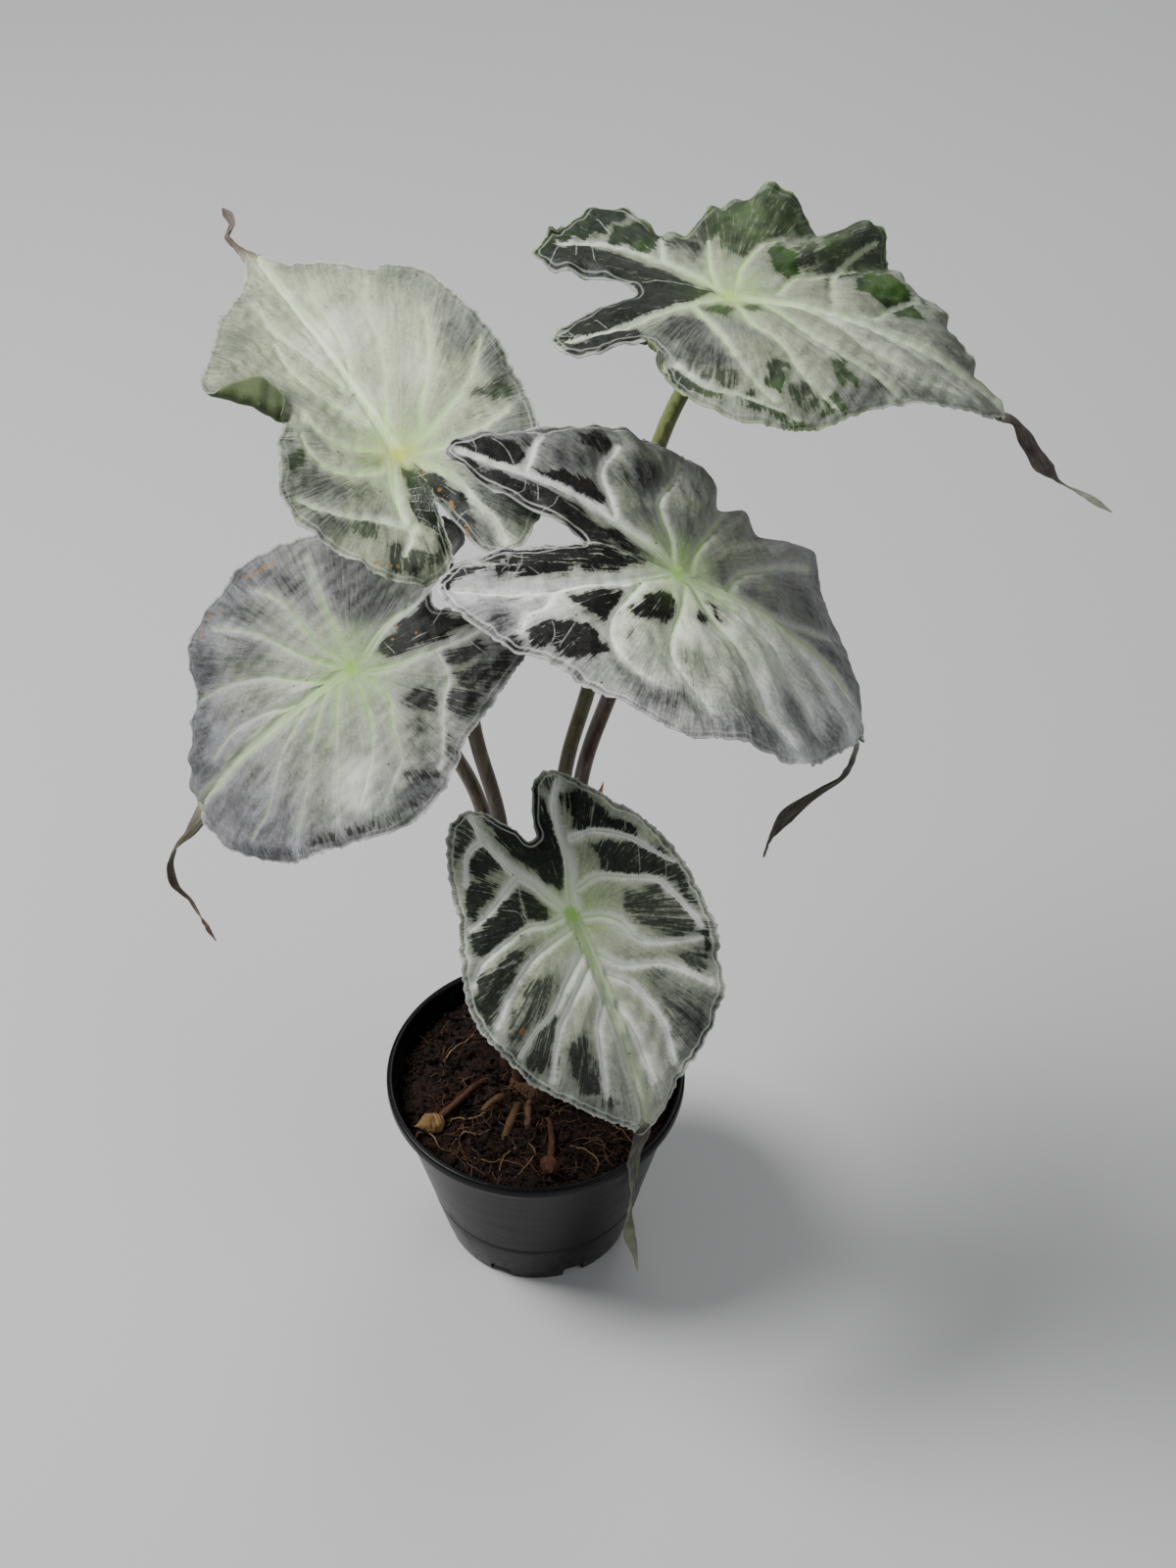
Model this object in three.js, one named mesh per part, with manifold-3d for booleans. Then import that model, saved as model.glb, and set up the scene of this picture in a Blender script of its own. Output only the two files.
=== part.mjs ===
// Potted venom alocasia: five silver shield leaves on long stalks, in a black nursery pot.
// All lengths are millimetres, +Z is up, -Y is the front, and the pot stands on z = 0.
import * as THREE from 'three';
import Module from 'manifold-3d';

const wasm = await Module();
wasm.setup();

// Driving dimensions
const GAP = 0.3;
const RIM_RADIUS = 60;
const POT_HEIGHT = 88;
const BASE_RADIUS = 38.5;
const WALL = 1.3;
const LIP_DEPTH = 5;
const LIP_STEP = 2.6;
const FLOOR_THICKNESS = 2;
const DRAIN_HOLES = 8;
const DRAIN_WIDTH = 9;
const DRAIN_HEIGHT = 6;
const SOIL_LEVEL = 78;
const SOIL_LUMPS = 1.1;
const BLADE_THICKNESS = 0.9;
const TAIL_THICKNESS = 0.8;
const CUFF_THICKNESS = 0.66;
const CUFF_ROOT = 1.3;
const STALK_TOP_RADIUS = 2.9;
const STALK_FOOT_RADIUS = 4.3;
const STALK_FOOT_LEVEL = 73;
const SHEATH_LEVEL = 170;
const BOSS_LENGTH = 3.2;
const CORM_CENTRE = [0, 4, 67];
const CORM_AXES = [16.5, 16, 15.5];

const SPOKES = 46;
const RINGS = [0.18, 0.38, 0.57, 0.74, 0.89, 1];
const POT_SIDES = 44;
const SOIL_SIDES = 36;
const STALK_SIDES = 8;
const ROOT_SIDES = 5;
const RUNNER_SIDES = 6;
const SHORTEST_EDGE = 0.06;

const V = (x, y, z) => new THREE.Vector3(x, y, z);
const rad = THREE.MathUtils.degToRad;
const clamp = THREE.MathUtils.clamp;

// Flat blade outlines start at the tip and run round by the two basal lobes. In them y runs from the
// stalk joint at 0,0 to the tip and x across. aim is the heading, slope and roll of the midrib in
// degrees, fold and bend are the lift and curl of the right and left half, and arch is the droop.
const LEAVES = {
  upper_left: {
    crown: [-42, 15, 392], aim: [121, 16, -11], fold: [10, 16], bend: [9, 20],
    arch: [60, 28, 5, -3], twist: 0, hub: [0, 30],
    outline: [[0, 122], [7, 107], [17, 95], [27, 80], [37, 68], [44, 57], [46, 43], [48, 29], [49, 14],
      [47, 0], [46, -12], [43, -25], [38, -38], [29, -47], [18, -53], [10, -52], [5.5, -46], [4, -35],
      [2, -23], [-0.5, -35], [-4, -46], [-11, -51], [-20, -52], [-31, -47], [-39, -37], [-45, -27],
      [-50, -15], [-49, -5], [-43, 5], [-38, 15], [-31, 24], [-40, 31], [-54, 39], [-49, 48], [-42, 57],
      [-35, 69], [-27, 82], [-17, 93], [-8, 107]],
    ripples: [[60, 10, 25, 2], [95, 9, 25, -2], [-150, 12, 25, 1.5]],
    lobes: [[25, -46], [-22, -45]],
    tail: [[-105, 128, 397], [-108, 133, 397], [-107, 138, 398.5], [-111, 146, 400]],
    tailWidth: [5, 5, 4, 4.5, 2.2, 4.4], tailTurn: [0, 0, 60, 120, 170, 200],
    cuff: { from: [-54, 39], to: [-31, 24], width: [3, 9, 12, 18, 19, 15, 5], radius: 2.2, turn: 168 },
    stalk: [[-5, 3], [-8, 9, 150], [-12, 11, 222], [-20, 11, 268], [-25, 12, 334]],
    colour: 0xb4b8a8,
  },
  left: {
    crown: [-61, -6, 314.5], aim: [-162, -31, -31], fold: [1, 7], bend: [-6, -6],
    arch: [60, 48, 70, 34], twist: -6, hub: [0, 0],
    outline: [[0, 100], [9, 92], [18, 80], [24, 68], [33, 58], [44, 50], [50, 40], [53, 28], [55, 15],
      [53, 2], [50, -9], [47, -18], [42, -29], [36, -42], [29, -54], [22, -60], [16, -56], [12.5, -47],
      [3, -36], [-5, -46], [-10, -56], [-14, -61], [-22, -60], [-29, -54], [-34, -45], [-40, -32],
      [-46, -20], [-53, -10], [-58, 2], [-58, 14], [-54, 26], [-50, 37], [-46, 50], [-42, 62],
      [-32, 75], [-20, 86], [-9, 95]],
    ripples: [[40, 9, 25, 1.5], [-60, 9, 25, 1.5], [-30, 8, 30, -2]],
    lobes: [[27, -50], [-21, -52]],
    tail: [[-126, -3, 230], [-132, -2, 220], [-135, 0, 208], [-134, 0, 198],
      [-129, 0, 190], [-126, 1, 179], [-124, 2, 172], [-122, 3, 163]],
    tailWidth: [6, 6, 5, 3, 3.4, 3, 1.8, 3.4, 3, 1.6], tailTurn: [0, 0, 20, 60, 90, 100, 140, 190, 220, 240],
    stalk: [[-10.5, 11], [-14, 17, 150], [-18, 19, 215], [-27, 14, 251], [-43, 2, 290]],
    colour: 0xb0b0ac,
  },
  centre: {
    crown: [50, -28, 377], aim: [4, -31, 16], fold: [2, 3], bend: [6, -22],
    arch: [66, 36, 52, 33], twist: 14, hub: [0, 0],
    outline: [[-1, 121], [8, 107], [20, 94], [32, 80], [44, 67], [54, 54], [60, 41], [61, 28], [63, 14],
      [65, 3], [62, -8], [58, -20], [53, -31], [48, -41], [46, -52], [40, -62], [33, -73], [25, -77],
      [16, -71], [10, -60], [5, -48], [0, -34], [-4, -44], [-9, -59], [-16, -74], [-25, -85],
      [-31, -77], [-38, -63], [-43, -48], [-50, -35], [-54, -22], [-57, -8], [-60, 4], [-59, 18],
      [-57, 30], [-54, 44], [-50, 58], [-46, 72], [-40, 84], [-30, 95], [-19, 105], [-9, 113]],
    ripples: [[-62, 6, 20, -5], [-40, 8, 25, 2], [35, 9, 30, -1.5], [70, 9, 30, 1.5]],
    lobes: [[26, -70], [-24, -76]],
    tail: [[115, -12, 275], [111, -12, 266], [102, -13, 259], [92, -14, 249],
      [88, -14, 242], [86, -14, 235], [85, -14, 228]],
    tailWidth: [6, 6, 5, 2.2, 3.2, 5, 4.2, 2, 2.6], tailTurn: [0, 0, 30, 70, 90, 120, 150, 190, 230],
    stalk: [[9, 3], [13, 4, 160], [18.5, 3, 251], [28, -2, 296], [41, -16, 349]],
    colour: 0xb6b6b0,
  },
  upper_right: {
    crown: [68, 52, 429], aim: [-1, -5, -6], fold: [2, 9], bend: [-22, 6],
    arch: [60, 36, 44, 13], twist: 0, hub: [0, 0],
    outline: [[1, 108], [12, 99], [20, 88], [26, 76], [33, 64], [41, 52], [50, 40], [58, 27], [61, 15],
      [60, 3], [55, -8], [50, -17], [42, -22], [34, -23], [29, -27], [30, -35], [35, -43], [35, -52],
      [28, -59], [20, -55], [14, -47], [7, -39], [1, -31], [-4, -38], [-9, -48], [-14, -60], [-21, -66],
      [-30, -60], [-37, -51], [-43, -46], [-44, -39], [-37, -30], [-32, -22], [-33, -14], [-42, -7],
      [-50, 0], [-55, 10], [-54, 22], [-51, 34], [-53, 47], [-43, 57], [-33, 64], [-27, 75], [-20, 82],
      [-11, 91], [-6, 99]],
    ripples: [[-57, 7, 20, -7], [-75, 8, 25, 2], [-45, 7, 25, 2], [60, 8, 30, -1.5]],
    lobes: [[26, -53], [-23, -59]],
    tail: [[167, 46, 381.5], [170, 45, 377], [174, 44, 370], [179, 43, 362],
      [184, 42, 358], [191, 41, 354], [197, 40, 351], [204, 40, 346]],
    tailWidth: [5, 5, 3, 4, 6.5, 6, 3.6, 2.6, 3, 1.8], tailTurn: [0, 0, 40, 70, 90, 110, 150, 180, 220, 250],
    cuff: { from: [47, -19], to: [34, -41], width: [1.5, 3.5, 5, 5.5, 5, 4, 1.5], radius: 2.4, turn: 115 },
    stalk: [[4, 12.5], [8, 14, 150], [12.5, 17, 241], [21.5, 24, 278], [48, 42, 384]],
    colour: 0xa8ad98,
  },
  front: {
    crown: [15, -48, 235], aim: [-57, -38, -5], fold: [6, 6], bend: [-6, 10],
    arch: [60, 30, 45, 22], twist: -15, hub: [0, 0],
    outline: [[1, 87], [9, 79], [18, 71], [28, 60], [38, 49], [45, 37], [50, 26], [51, 12], [48, 0],
      [43, -12], [40, -25], [36, -36], [30, -45], [20, -48.5], [12, -44], [6, -36], [0, -29],
      [-5, -39], [-11, -48], [-19, -50], [-27, -42], [-34, -31], [-41, -20], [-45, -8], [-47, 5],
      [-46, 18], [-45, 31], [-41, 44], [-35, 56], [-26, 64], [-18, 69], [-11, 77], [-5, 83]],
    ripples: [[55, 8, 25, 1.5], [-70, 8, 25, 1.5], [-35, 8, 30, -1.5]],
    lobes: [[23, -42], [-17, -44]],
    tail: [[38, -95, 155], [37.5, -95, 143], [37, -95, 131], [36, -94, 120],
      [36, -94, 110], [38.5, -93, 95], [40, -92, 80.5]],
    tailWidth: [6, 6, 4.5, 3.4, 1.9, 4, 5.2, 2.6, 1.6], tailTurn: [0, 0, 15, 40, 90, 150, 190, 230, 260],
    stalk: [[4, -5], [4, -11, 120], [5.5, -22, 170], [8.5, -34, 207]],
    colour: 0xa4a896,
  },
};

// Closed surfaces
function toSolid(points, faces) {
  const solidOf = (corners) => new wasm.Manifold(new wasm.Mesh({
    numProp: 3,
    vertProperties: new Float32Array(points.flatMap((p) => [p.x, p.y, p.z])),
    triVerts: new Uint32Array(corners.flat()),
  }));
  const solid = solidOf(faces);
  return solid.volume() > 0 ? solid : solidOf(faces.map(([a, b, c]) => [a, c, b]));
}

// Joins the ends of edges shorter than SHORTEST_EDGE, where that leaves the surface closed.
function withoutShortEdges(position, triangles) {
  let faces = triangles;
  const length = (a, b) => Math.hypot(
    position[3 * a] - position[3 * b],
    position[3 * a + 1] - position[3 * b + 1],
    position[3 * a + 2] - position[3 * b + 2],
  );
  for (let pass = 0; pass < 12; pass += 1) {
    const near = new Map();
    for (const face of faces) {
      for (const a of face) {
        near.set(a, near.get(a) ?? new Set());
        face.filter((b) => b !== a).forEach((b) => near.get(a).add(b));
      }
    }
    const moved = new Map();
    const held = new Set();
    for (const face of faces) {
      for (let k = 0; k < 3; k += 1) {
        const a = face[k];
        const b = face[(k + 1) % 3];
        const shared = [...near.get(a)].filter((v) => near.get(b).has(v));
        if (length(a, b) < SHORTEST_EDGE && shared.length === 2 && !held.has(a) && !held.has(b)) {
          moved.set(b, a);
          [a, b, ...near.get(a), ...near.get(b)].forEach((v) => held.add(v));
        }
      }
    }
    if (moved.size === 0) {
      break;
    }
    faces = faces
      .map((face) => face.map((v) => moved.get(v) ?? v))
      .filter((face) => new Set(face).size === 3);
  }
  return faces;
}

function fromSolid(solid) {
  const mesh = solid.getMesh();
  const triangles = [];
  for (let i = 0; i < mesh.triVerts.length; i += 3) {
    triangles.push([mesh.triVerts[i], mesh.triVerts[i + 1], mesh.triVerts[i + 2]]);
  }
  const faces = withoutShortEdges(mesh.vertProperties, triangles);
  const used = [...new Set(faces.flat())];
  const place = new Map(used.map((v, i) => [v, i]));
  const corners = used.flatMap((v) => [0, 1, 2].map((k) => mesh.vertProperties[3 * v + k]));
  const geometry = new THREE.BufferGeometry();
  geometry.setAttribute('position', new THREE.Float32BufferAttribute(corners, 3));
  geometry.setIndex(faces.flat().map((v) => place.get(v)));
  return geometry;
}

// A tube through rows of section points, closed at both ends by fans.
function loft(rows) {
  const sides = rows[0].length;
  const points = rows.flat();
  const faces = [];
  for (let i = 0; i + 1 < rows.length; i += 1) {
    for (let j = 0; j < sides; j += 1) {
      const a = i * sides + j;
      const b = i * sides + (j + 1) % sides;
      faces.push([a, b, b + sides], [a, b + sides, a + sides]);
    }
  }
  const last = (rows.length - 1) * sides;
  for (let j = 1; j + 1 < sides; j += 1) {
    faces.push([0, j + 1, j], [last, last + j, last + j + 1]);
  }
  return { points, faces };
}

// A smooth curve through points, with the same number of steps between each pair.
function smoothPath(points, steps) {
  const places = points.map((p) => (p.isVector3 ? p : V(...p)));
  const curve = new THREE.CatmullRomCurve3(places, false, 'centripetal');
  return curve.getPoints(steps * (points.length - 1));
}

function valueAlong(values, t) {
  const place = clamp(t, 0, 1) * (values.length - 1);
  const i = Math.min(Math.floor(place), values.length - 2);
  return values[i] + (values[i + 1] - values[i]) * (place - i);
}

// Rows of round sections along a path, carried without twist.
function roundRows(path, radiusAt, sides) {
  const rows = [];
  let side = V(1, 0, 0);
  for (let i = 0; i < path.length; i += 1) {
    const ahead = path[Math.min(i + 1, path.length - 1)];
    const behind = path[Math.max(i - 1, 0)];
    const along = ahead.clone().sub(behind).normalize();
    side = side.clone().addScaledVector(along, -side.dot(along)).normalize();
    const other = along.clone().cross(side);
    const radius = radiusAt(i / (path.length - 1), path[i]);
    const row = [];
    for (let k = 0; k < sides; k += 1) {
      const angle = (2 * Math.PI * k) / sides;
      row.push(path[i].clone()
        .addScaledVector(side, radius * Math.cos(angle))
        .addScaledVector(other, radius * Math.sin(angle)));
    }
    rows.push(row);
  }
  return rows;
}

// Leaf blade form
function leafFrame(leaf) {
  const [heading, slope, roll] = leaf.aim.map(rad);
  const d = V(Math.cos(slope) * Math.cos(heading), Math.cos(slope) * Math.sin(heading), Math.sin(slope));
  const level = V(0, 0, 1).addScaledVector(d, -d.z).normalize();
  const across = d.clone().cross(level);
  const n = level.multiplyScalar(Math.cos(roll)).addScaledVector(across, Math.sin(roll));
  return { w: d.clone().cross(n), d, n };
}

// A step s along a curve that starts at one angle and turns steadily, as run and rise.
function steadyTurn(s, start, turn) {
  const rate = Math.abs(turn) < 1e-6 ? 1e-6 : turn;
  const end = start + rate * s;
  return [(Math.sin(end) - Math.sin(start)) / rate, (Math.cos(start) - Math.cos(end)) / rate, end];
}

// Where a point of the flat blade, z above its upper face, lies on the bent blade.
function bent(leaf, x, y, z) {
  const reach = Math.hypot(x, y);
  const bearing = THREE.MathUtils.radToDeg(Math.atan2(x, y));
  let lift = z;
  for (const [centre, spread, start, height] of leaf.ripples) {
    const away = ((bearing - centre + 540) % 360) - 180;
    const rise = clamp((reach - start) / (50 - start), 0, 2) ** 1.5;
    lift += height * Math.exp(-((away / spread) ** 2)) * rise;
  }
  const half = x >= 0 ? 0 : 1;
  const [run, rise, tilt] = steadyTurn(Math.abs(x), rad(leaf.fold[half]), rad(leaf.bend[half]) / 50);
  const px = (x >= 0 ? 1 : -1) * (run - lift * Math.sin(tilt));
  let pz = rise + lift * Math.cos(tilt);
  const [nearLength, near, far, back] = leaf.arch;
  const [a0, b0, t0] = steadyTurn(Math.min(y, 0), 0, rad(back) / 100);
  const [a1, b1, t1] = steadyTurn(clamp(y, 0, nearLength), 0, rad(near) / 100);
  const [a2, b2, t2] = steadyTurn(Math.max(y - nearLength, 0), t1, rad(far) / 100);
  const droop = y < 0 ? t0 : (y < nearLength ? t1 : t2);
  const py = a0 + a1 + a2 * (y > nearLength) + pz * Math.sin(droop);
  pz = -b0 - b1 - b2 * (y > nearLength) + pz * Math.cos(droop);
  const twist = rad(leaf.twist) * y / 100;
  const { w, d, n } = leafFrame(leaf);
  return V(...leaf.crown)
    .addScaledVector(w, px * Math.cos(twist))
    .addScaledVector(d, py)
    .addScaledVector(n, pz + px * Math.sin(twist));
}

// The outline as evenly spaced points, with fewer where it runs nearly towards the hub.
function margin(leaf, count) {
  const curve = new THREE.CatmullRomCurve3(leaf.outline.map(([x, y]) => V(x, y, 0)), true, 'centripetal');
  const fine = curve.getPoints(1200);
  fine.pop();
  const hub = V(leaf.hub[0], leaf.hub[1], 0);
  const share = [0];
  for (let i = 0; i < fine.length; i += 1) {
    const a = fine[i].clone().sub(hub);
    const b = fine[(i + 1) % fine.length].clone().sub(hub);
    const swing = Math.abs(a.x * b.y - a.y * b.x) / a.length();
    share.push(share[i] + 0.35 * a.distanceTo(b) + swing);
  }
  const total = share[fine.length];
  const picked = [];
  let i = 0;
  for (let k = 0; k < count; k += 1) {
    while (share[i + 1] <= (total * k) / count) {
      i += 1;
    }
    picked.push(fine[i]);
  }
  return picked;
}

// The blade itself: two like-split faces, one thickness apart, joined round the margin.
function bladeSheet(leaf, edge) {
  const [hx, hy] = leaf.hub;
  const points = [bent(leaf, hx, hy, 0), bent(leaf, hx, hy, -BLADE_THICKNESS)];
  const faces = [];
  const at = (ring, spoke, under) => 2 + (ring * edge.length + (spoke % edge.length)) * 2 + under;
  for (const share of RINGS) {
    for (const p of edge) {
      const x = hx + (p.x - hx) * share;
      const y = hy + (p.y - hy) * share;
      points.push(bent(leaf, x, y, 0), bent(leaf, x, y, -BLADE_THICKNESS));
    }
  }
  const outer = RINGS.length - 1;
  for (let s = 0; s < edge.length; s += 1) {
    faces.push([0, at(0, s + 1, 0), at(0, s, 0)], [1, at(0, s, 1), at(0, s + 1, 1)]);
    for (let r = 0; r < outer; r += 1) {
      faces.push([at(r, s, 0), at(r, s + 1, 0), at(r + 1, s + 1, 0)]);
      faces.push([at(r, s, 0), at(r + 1, s + 1, 0), at(r + 1, s, 0)]);
      faces.push([at(r, s, 1), at(r + 1, s + 1, 1), at(r, s + 1, 1)]);
      faces.push([at(r, s, 1), at(r + 1, s, 1), at(r + 1, s + 1, 1)]);
    }
    faces.push([at(outer, s, 0), at(outer, s + 1, 0), at(outer, s + 1, 1)]);
    faces.push([at(outer, s, 0), at(outer, s + 1, 1), at(outer, s, 1)]);
  }
  return toSolid(points, faces);
}

// A raised rib under the blade, three-sided, sunk into it and tapering outward.
function ribSolid(leaf, line, width, height) {
  const rows = line.map(([x, y], i) => {
    const [ax, ay] = line[Math.min(i + 1, line.length - 1)];
    const [bx, by] = line[Math.max(i - 1, 0)];
    const length = Math.hypot(ax - bx, ay - by);
    const sx = (ay - by) / length;
    const sy = -(ax - bx) / length;
    const taper = 1 - 0.7 * (i / (line.length - 1));
    const half = (width * taper) / 2;
    const sunk = -BLADE_THICKNESS * 0.45;
    return [
      bent(leaf, x + sx * half, y + sy * half, sunk),
      bent(leaf, x - sx * half, y - sy * half, sunk),
      bent(leaf, x, y, -BLADE_THICKNESS - height * taper),
    ];
  });
  const { points, faces } = loft(rows);
  return toSolid(points, faces);
}

// Vein lines from the stalk joint: the midrib, one to each basal lobe and laterals off them.
function veinLines(leaf) {
  const tip = leaf.outline[0];
  const steps = 8;
  const line = (x0, y0, x1, y1, bow) => {
    const out = [];
    for (let i = 0; i <= steps; i += 1) {
      const t = i / steps;
      const swell = 4 * bow * t * (1 - t);
      out.push([x0 + (x1 - x0) * t + swell * Math.sign(x1), y0 + (y1 - y0) * t]);
    }
    return out;
  };
  const ribs = [{ line: line(0, 3, tip[0] * 0.95, tip[1] * 0.95, 0), width: 3, height: 1.8 }];
  for (const [x, y] of leaf.lobes) {
    ribs.push({ line: line(Math.sign(x) * 1.5, -2.5, x * 0.92, y * 0.92, 3), width: 2.6, height: 1.5 });
  }
  return ribs;
}

function edgeIndex(edge, [x, y]) {
  let best = 0;
  edge.forEach((p, i) => {
    if (Math.hypot(p.x - x, p.y - y) < Math.hypot(edge[best].x - x, edge[best].y - y)) {
      best = i;
    }
  });
  return best;
}

// A stretch of margin that is rolled up and over, with the pale green underside out.
function cuffSolid(leaf, edge) {
  const { from, to, width, radius, turn } = leaf.cuff;
  const first = edgeIndex(edge, from);
  const last = edgeIndex(edge, to);
  const step = last > first ? 1 : -1;
  const count = Math.abs(last - first);
  const columns = [-CUFF_ROOT, 0, 0.2, 0.4, 0.6, 0.8, 1];
  const upper = [];
  const lower = [];
  for (let i = 0; i <= count; i += 1) {
    const k = first + step * i;
    const p = edge[k];
    const before = edge[(k - 1 + edge.length) % edge.length];
    const after = edge[(k + 1) % edge.length];
    const length = after.distanceTo(before);
    const nx = -(after.y - before.y) / length;
    const ny = (after.x - before.x) / length;
    const reach = valueAlong(width, i / count);
    for (const c of columns) {
      const s = c < 0 ? c : c * reach;
      const angle = clamp(s / radius, 0, rad(turn));
      const rest = s < 0 ? s : Math.max(s - radius * angle, 0);
      const out = radius * Math.sin(angle) + rest * Math.cos(angle);
      const up = radius * (1 - Math.cos(angle)) + rest * Math.sin(angle);
      const level = up - BLADE_THICKNESS / 2;
      const sideways = (CUFF_THICKNESS / 2) * Math.sin(angle);
      const upward = (CUFF_THICKNESS / 2) * Math.cos(angle);
      const inner = out - sideways;
      const outer = out + sideways;
      upper.push(bent(leaf, p.x + nx * inner, p.y + ny * inner, level + upward));
      lower.push(bent(leaf, p.x + nx * outer, p.y + ny * outer, level - upward));
    }
  }
  return sheetSolid(upper, lower, count + 1, columns.length);
}

// A closed thin solid between two like grids of points.
function sheetSolid(upper, lower, rows, columns) {
  const points = [...upper, ...lower];
  const under = upper.length;
  const faces = [];
  const at = (i, j) => i * columns + j;
  for (let i = 0; i + 1 < rows; i += 1) {
    for (let j = 0; j + 1 < columns; j += 1) {
      const [a, b, c, d] = [at(i, j), at(i, j + 1), at(i + 1, j + 1), at(i + 1, j)];
      faces.push([a, b, c], [a, c, d], [a + under, c + under, b + under], [a + under, d + under, c + under]);
    }
  }
  const rim = [];
  for (let j = 0; j + 1 < columns; j += 1) {
    rim.push([at(0, j), at(0, j + 1)]);
  }
  for (let i = 0; i + 1 < rows; i += 1) {
    rim.push([at(i, columns - 1), at(i + 1, columns - 1)]);
  }
  for (let j = columns - 1; j > 0; j -= 1) {
    rim.push([at(rows - 1, j), at(rows - 1, j - 1)]);
  }
  for (let i = rows - 1; i > 0; i -= 1) {
    rim.push([at(i, 0), at(i - 1, 0)]);
  }
  for (const [a, b] of rim) {
    faces.push([b, a, a + under], [b, a + under, b + under]);
  }
  return toSolid(points, faces);
}

// The drip tip: a long dry ribbon that turns about itself.
function tailSolid(leaf) {
  const { d, n } = leafFrame(leaf);
  const [tipX, tipY] = leaf.outline[0];
  const roots = [0.92, 0.985].map((share) => bent(leaf, tipX * share, tipY * share, -BLADE_THICKNESS / 2));
  const path = smoothPath([...roots, ...leaf.tail], 2);
  const rows = [];
  let side = d.clone().cross(n);
  for (let i = 0; i < path.length; i += 1) {
    const t = i / (path.length - 1);
    const along = path[Math.min(i + 1, path.length - 1)].clone().sub(path[Math.max(i - 1, 0)]).normalize();
    side = side.clone().addScaledVector(along, -side.dot(along)).normalize();
    const turn = rad(valueAlong(leaf.tailTurn, t));
    const wide = side.clone().applyAxisAngle(along, turn);
    const thin = along.clone().cross(wide);
    const half = valueAlong(leaf.tailWidth, t) / 2;
    const thick = TAIL_THICKNESS / 2;
    const corners = [[half, thick], [-half, thick], [-half, -thick], [half, -thick]];
    rows.push(corners.map(([a, b]) => path[i].clone().addScaledVector(wide, a).addScaledVector(thin, b)));
  }
  const { points, faces } = loft(rows);
  return toSolid(points, faces);
}

// Leaf stalks
function stalkEnd(leaf) {
  const { n } = leafFrame(leaf);
  const crown = V(...leaf.crown);
  const last = V(...leaf.stalk[leaf.stalk.length - 1]);
  const along = crown.clone().sub(last).normalize().add(n).normalize();
  return { crown, along, end: crown.clone().addScaledVector(along, -BOSS_LENGTH - GAP) };
}

function stalkPath(leaf, foot) {
  const { along, end } = stalkEnd(leaf);
  const [x, y] = leaf.stalk[0];
  const through = leaf.stalk.slice(1).map((p) => V(...p));
  const bendPoint = end.clone().addScaledVector(along, -9);
  return smoothPath([V(x, y, foot), ...through, bendPoint, end], 3);
}

function stalkRadius(z, extra) {
  const sheath = clamp((SHEATH_LEVEL - z) / (SHEATH_LEVEL - STALK_FOOT_LEVEL), 0, 1);
  return STALK_TOP_RADIUS + (STALK_FOOT_RADIUS - STALK_TOP_RADIUS) * sheath ** 1.4 + extra;
}

function stalkSolid(leaf, foot, extra) {
  const rows = roundRows(stalkPath(leaf, foot), (t, p) => stalkRadius(p.z, extra), STALK_SIDES);
  const { points, faces } = loft(rows);
  return toSolid(points, faces);
}

// The short neck under the blade that the stalk runs into.
function bossSolid(leaf) {
  const { crown, along } = stalkEnd(leaf);
  const steps = [-BOSS_LENGTH, -BOSS_LENGTH / 2, -BLADE_THICKNESS / 2];
  const path = steps.map((s) => crown.clone().addScaledVector(along, s));
  const { points, faces } = loft(roundRows(path, () => STALK_TOP_RADIUS, STALK_SIDES));
  return toSolid(points, faces);
}

function bladeSolid(leaf) {
  const edge = margin(leaf, SPOKES);
  let solid = bladeSheet(leaf, edge);
  for (const { line, width, height } of veinLines(leaf)) {
    solid = solid.add(ribSolid(leaf, line, width, height));
  }
  if (leaf.cuff) {
    solid = solid.add(cuffSolid(leaf, edge));
  }
  return solid.add(bossSolid(leaf)).add(tailSolid(leaf));
}

// Pot and soil
function turned(profile, sides) {
  const points = [];
  const faces = [];
  const inner = profile.length - 2;
  points.push(V(0, 0, profile[0][1]), V(0, 0, profile[profile.length - 1][1]));
  for (let k = 0; k < sides; k += 1) {
    const angle = (2 * Math.PI * k) / sides;
    for (const [r, z] of profile.slice(1, -1)) {
      points.push(V(r * Math.cos(angle), r * Math.sin(angle), z));
    }
  }
  const at = (k, j) => 2 + (k % sides) * inner + j;
  for (let k = 0; k < sides; k += 1) {
    faces.push([0, at(k + 1, 0), at(k, 0)], [1, at(k, inner - 1), at(k + 1, inner - 1)]);
    for (let j = 0; j + 1 < inner; j += 1) {
      faces.push([at(k, j), at(k + 1, j), at(k + 1, j + 1)], [at(k, j), at(k + 1, j + 1), at(k, j + 1)]);
    }
  }
  return toSolid(points, faces);
}

const lipBottom = POT_HEIGHT - LIP_DEPTH;
const neckRadius = RIM_RADIUS - LIP_STEP;
const wallRadius = (z) => BASE_RADIUS + ((neckRadius - BASE_RADIUS) * z) / lipBottom;

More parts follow.
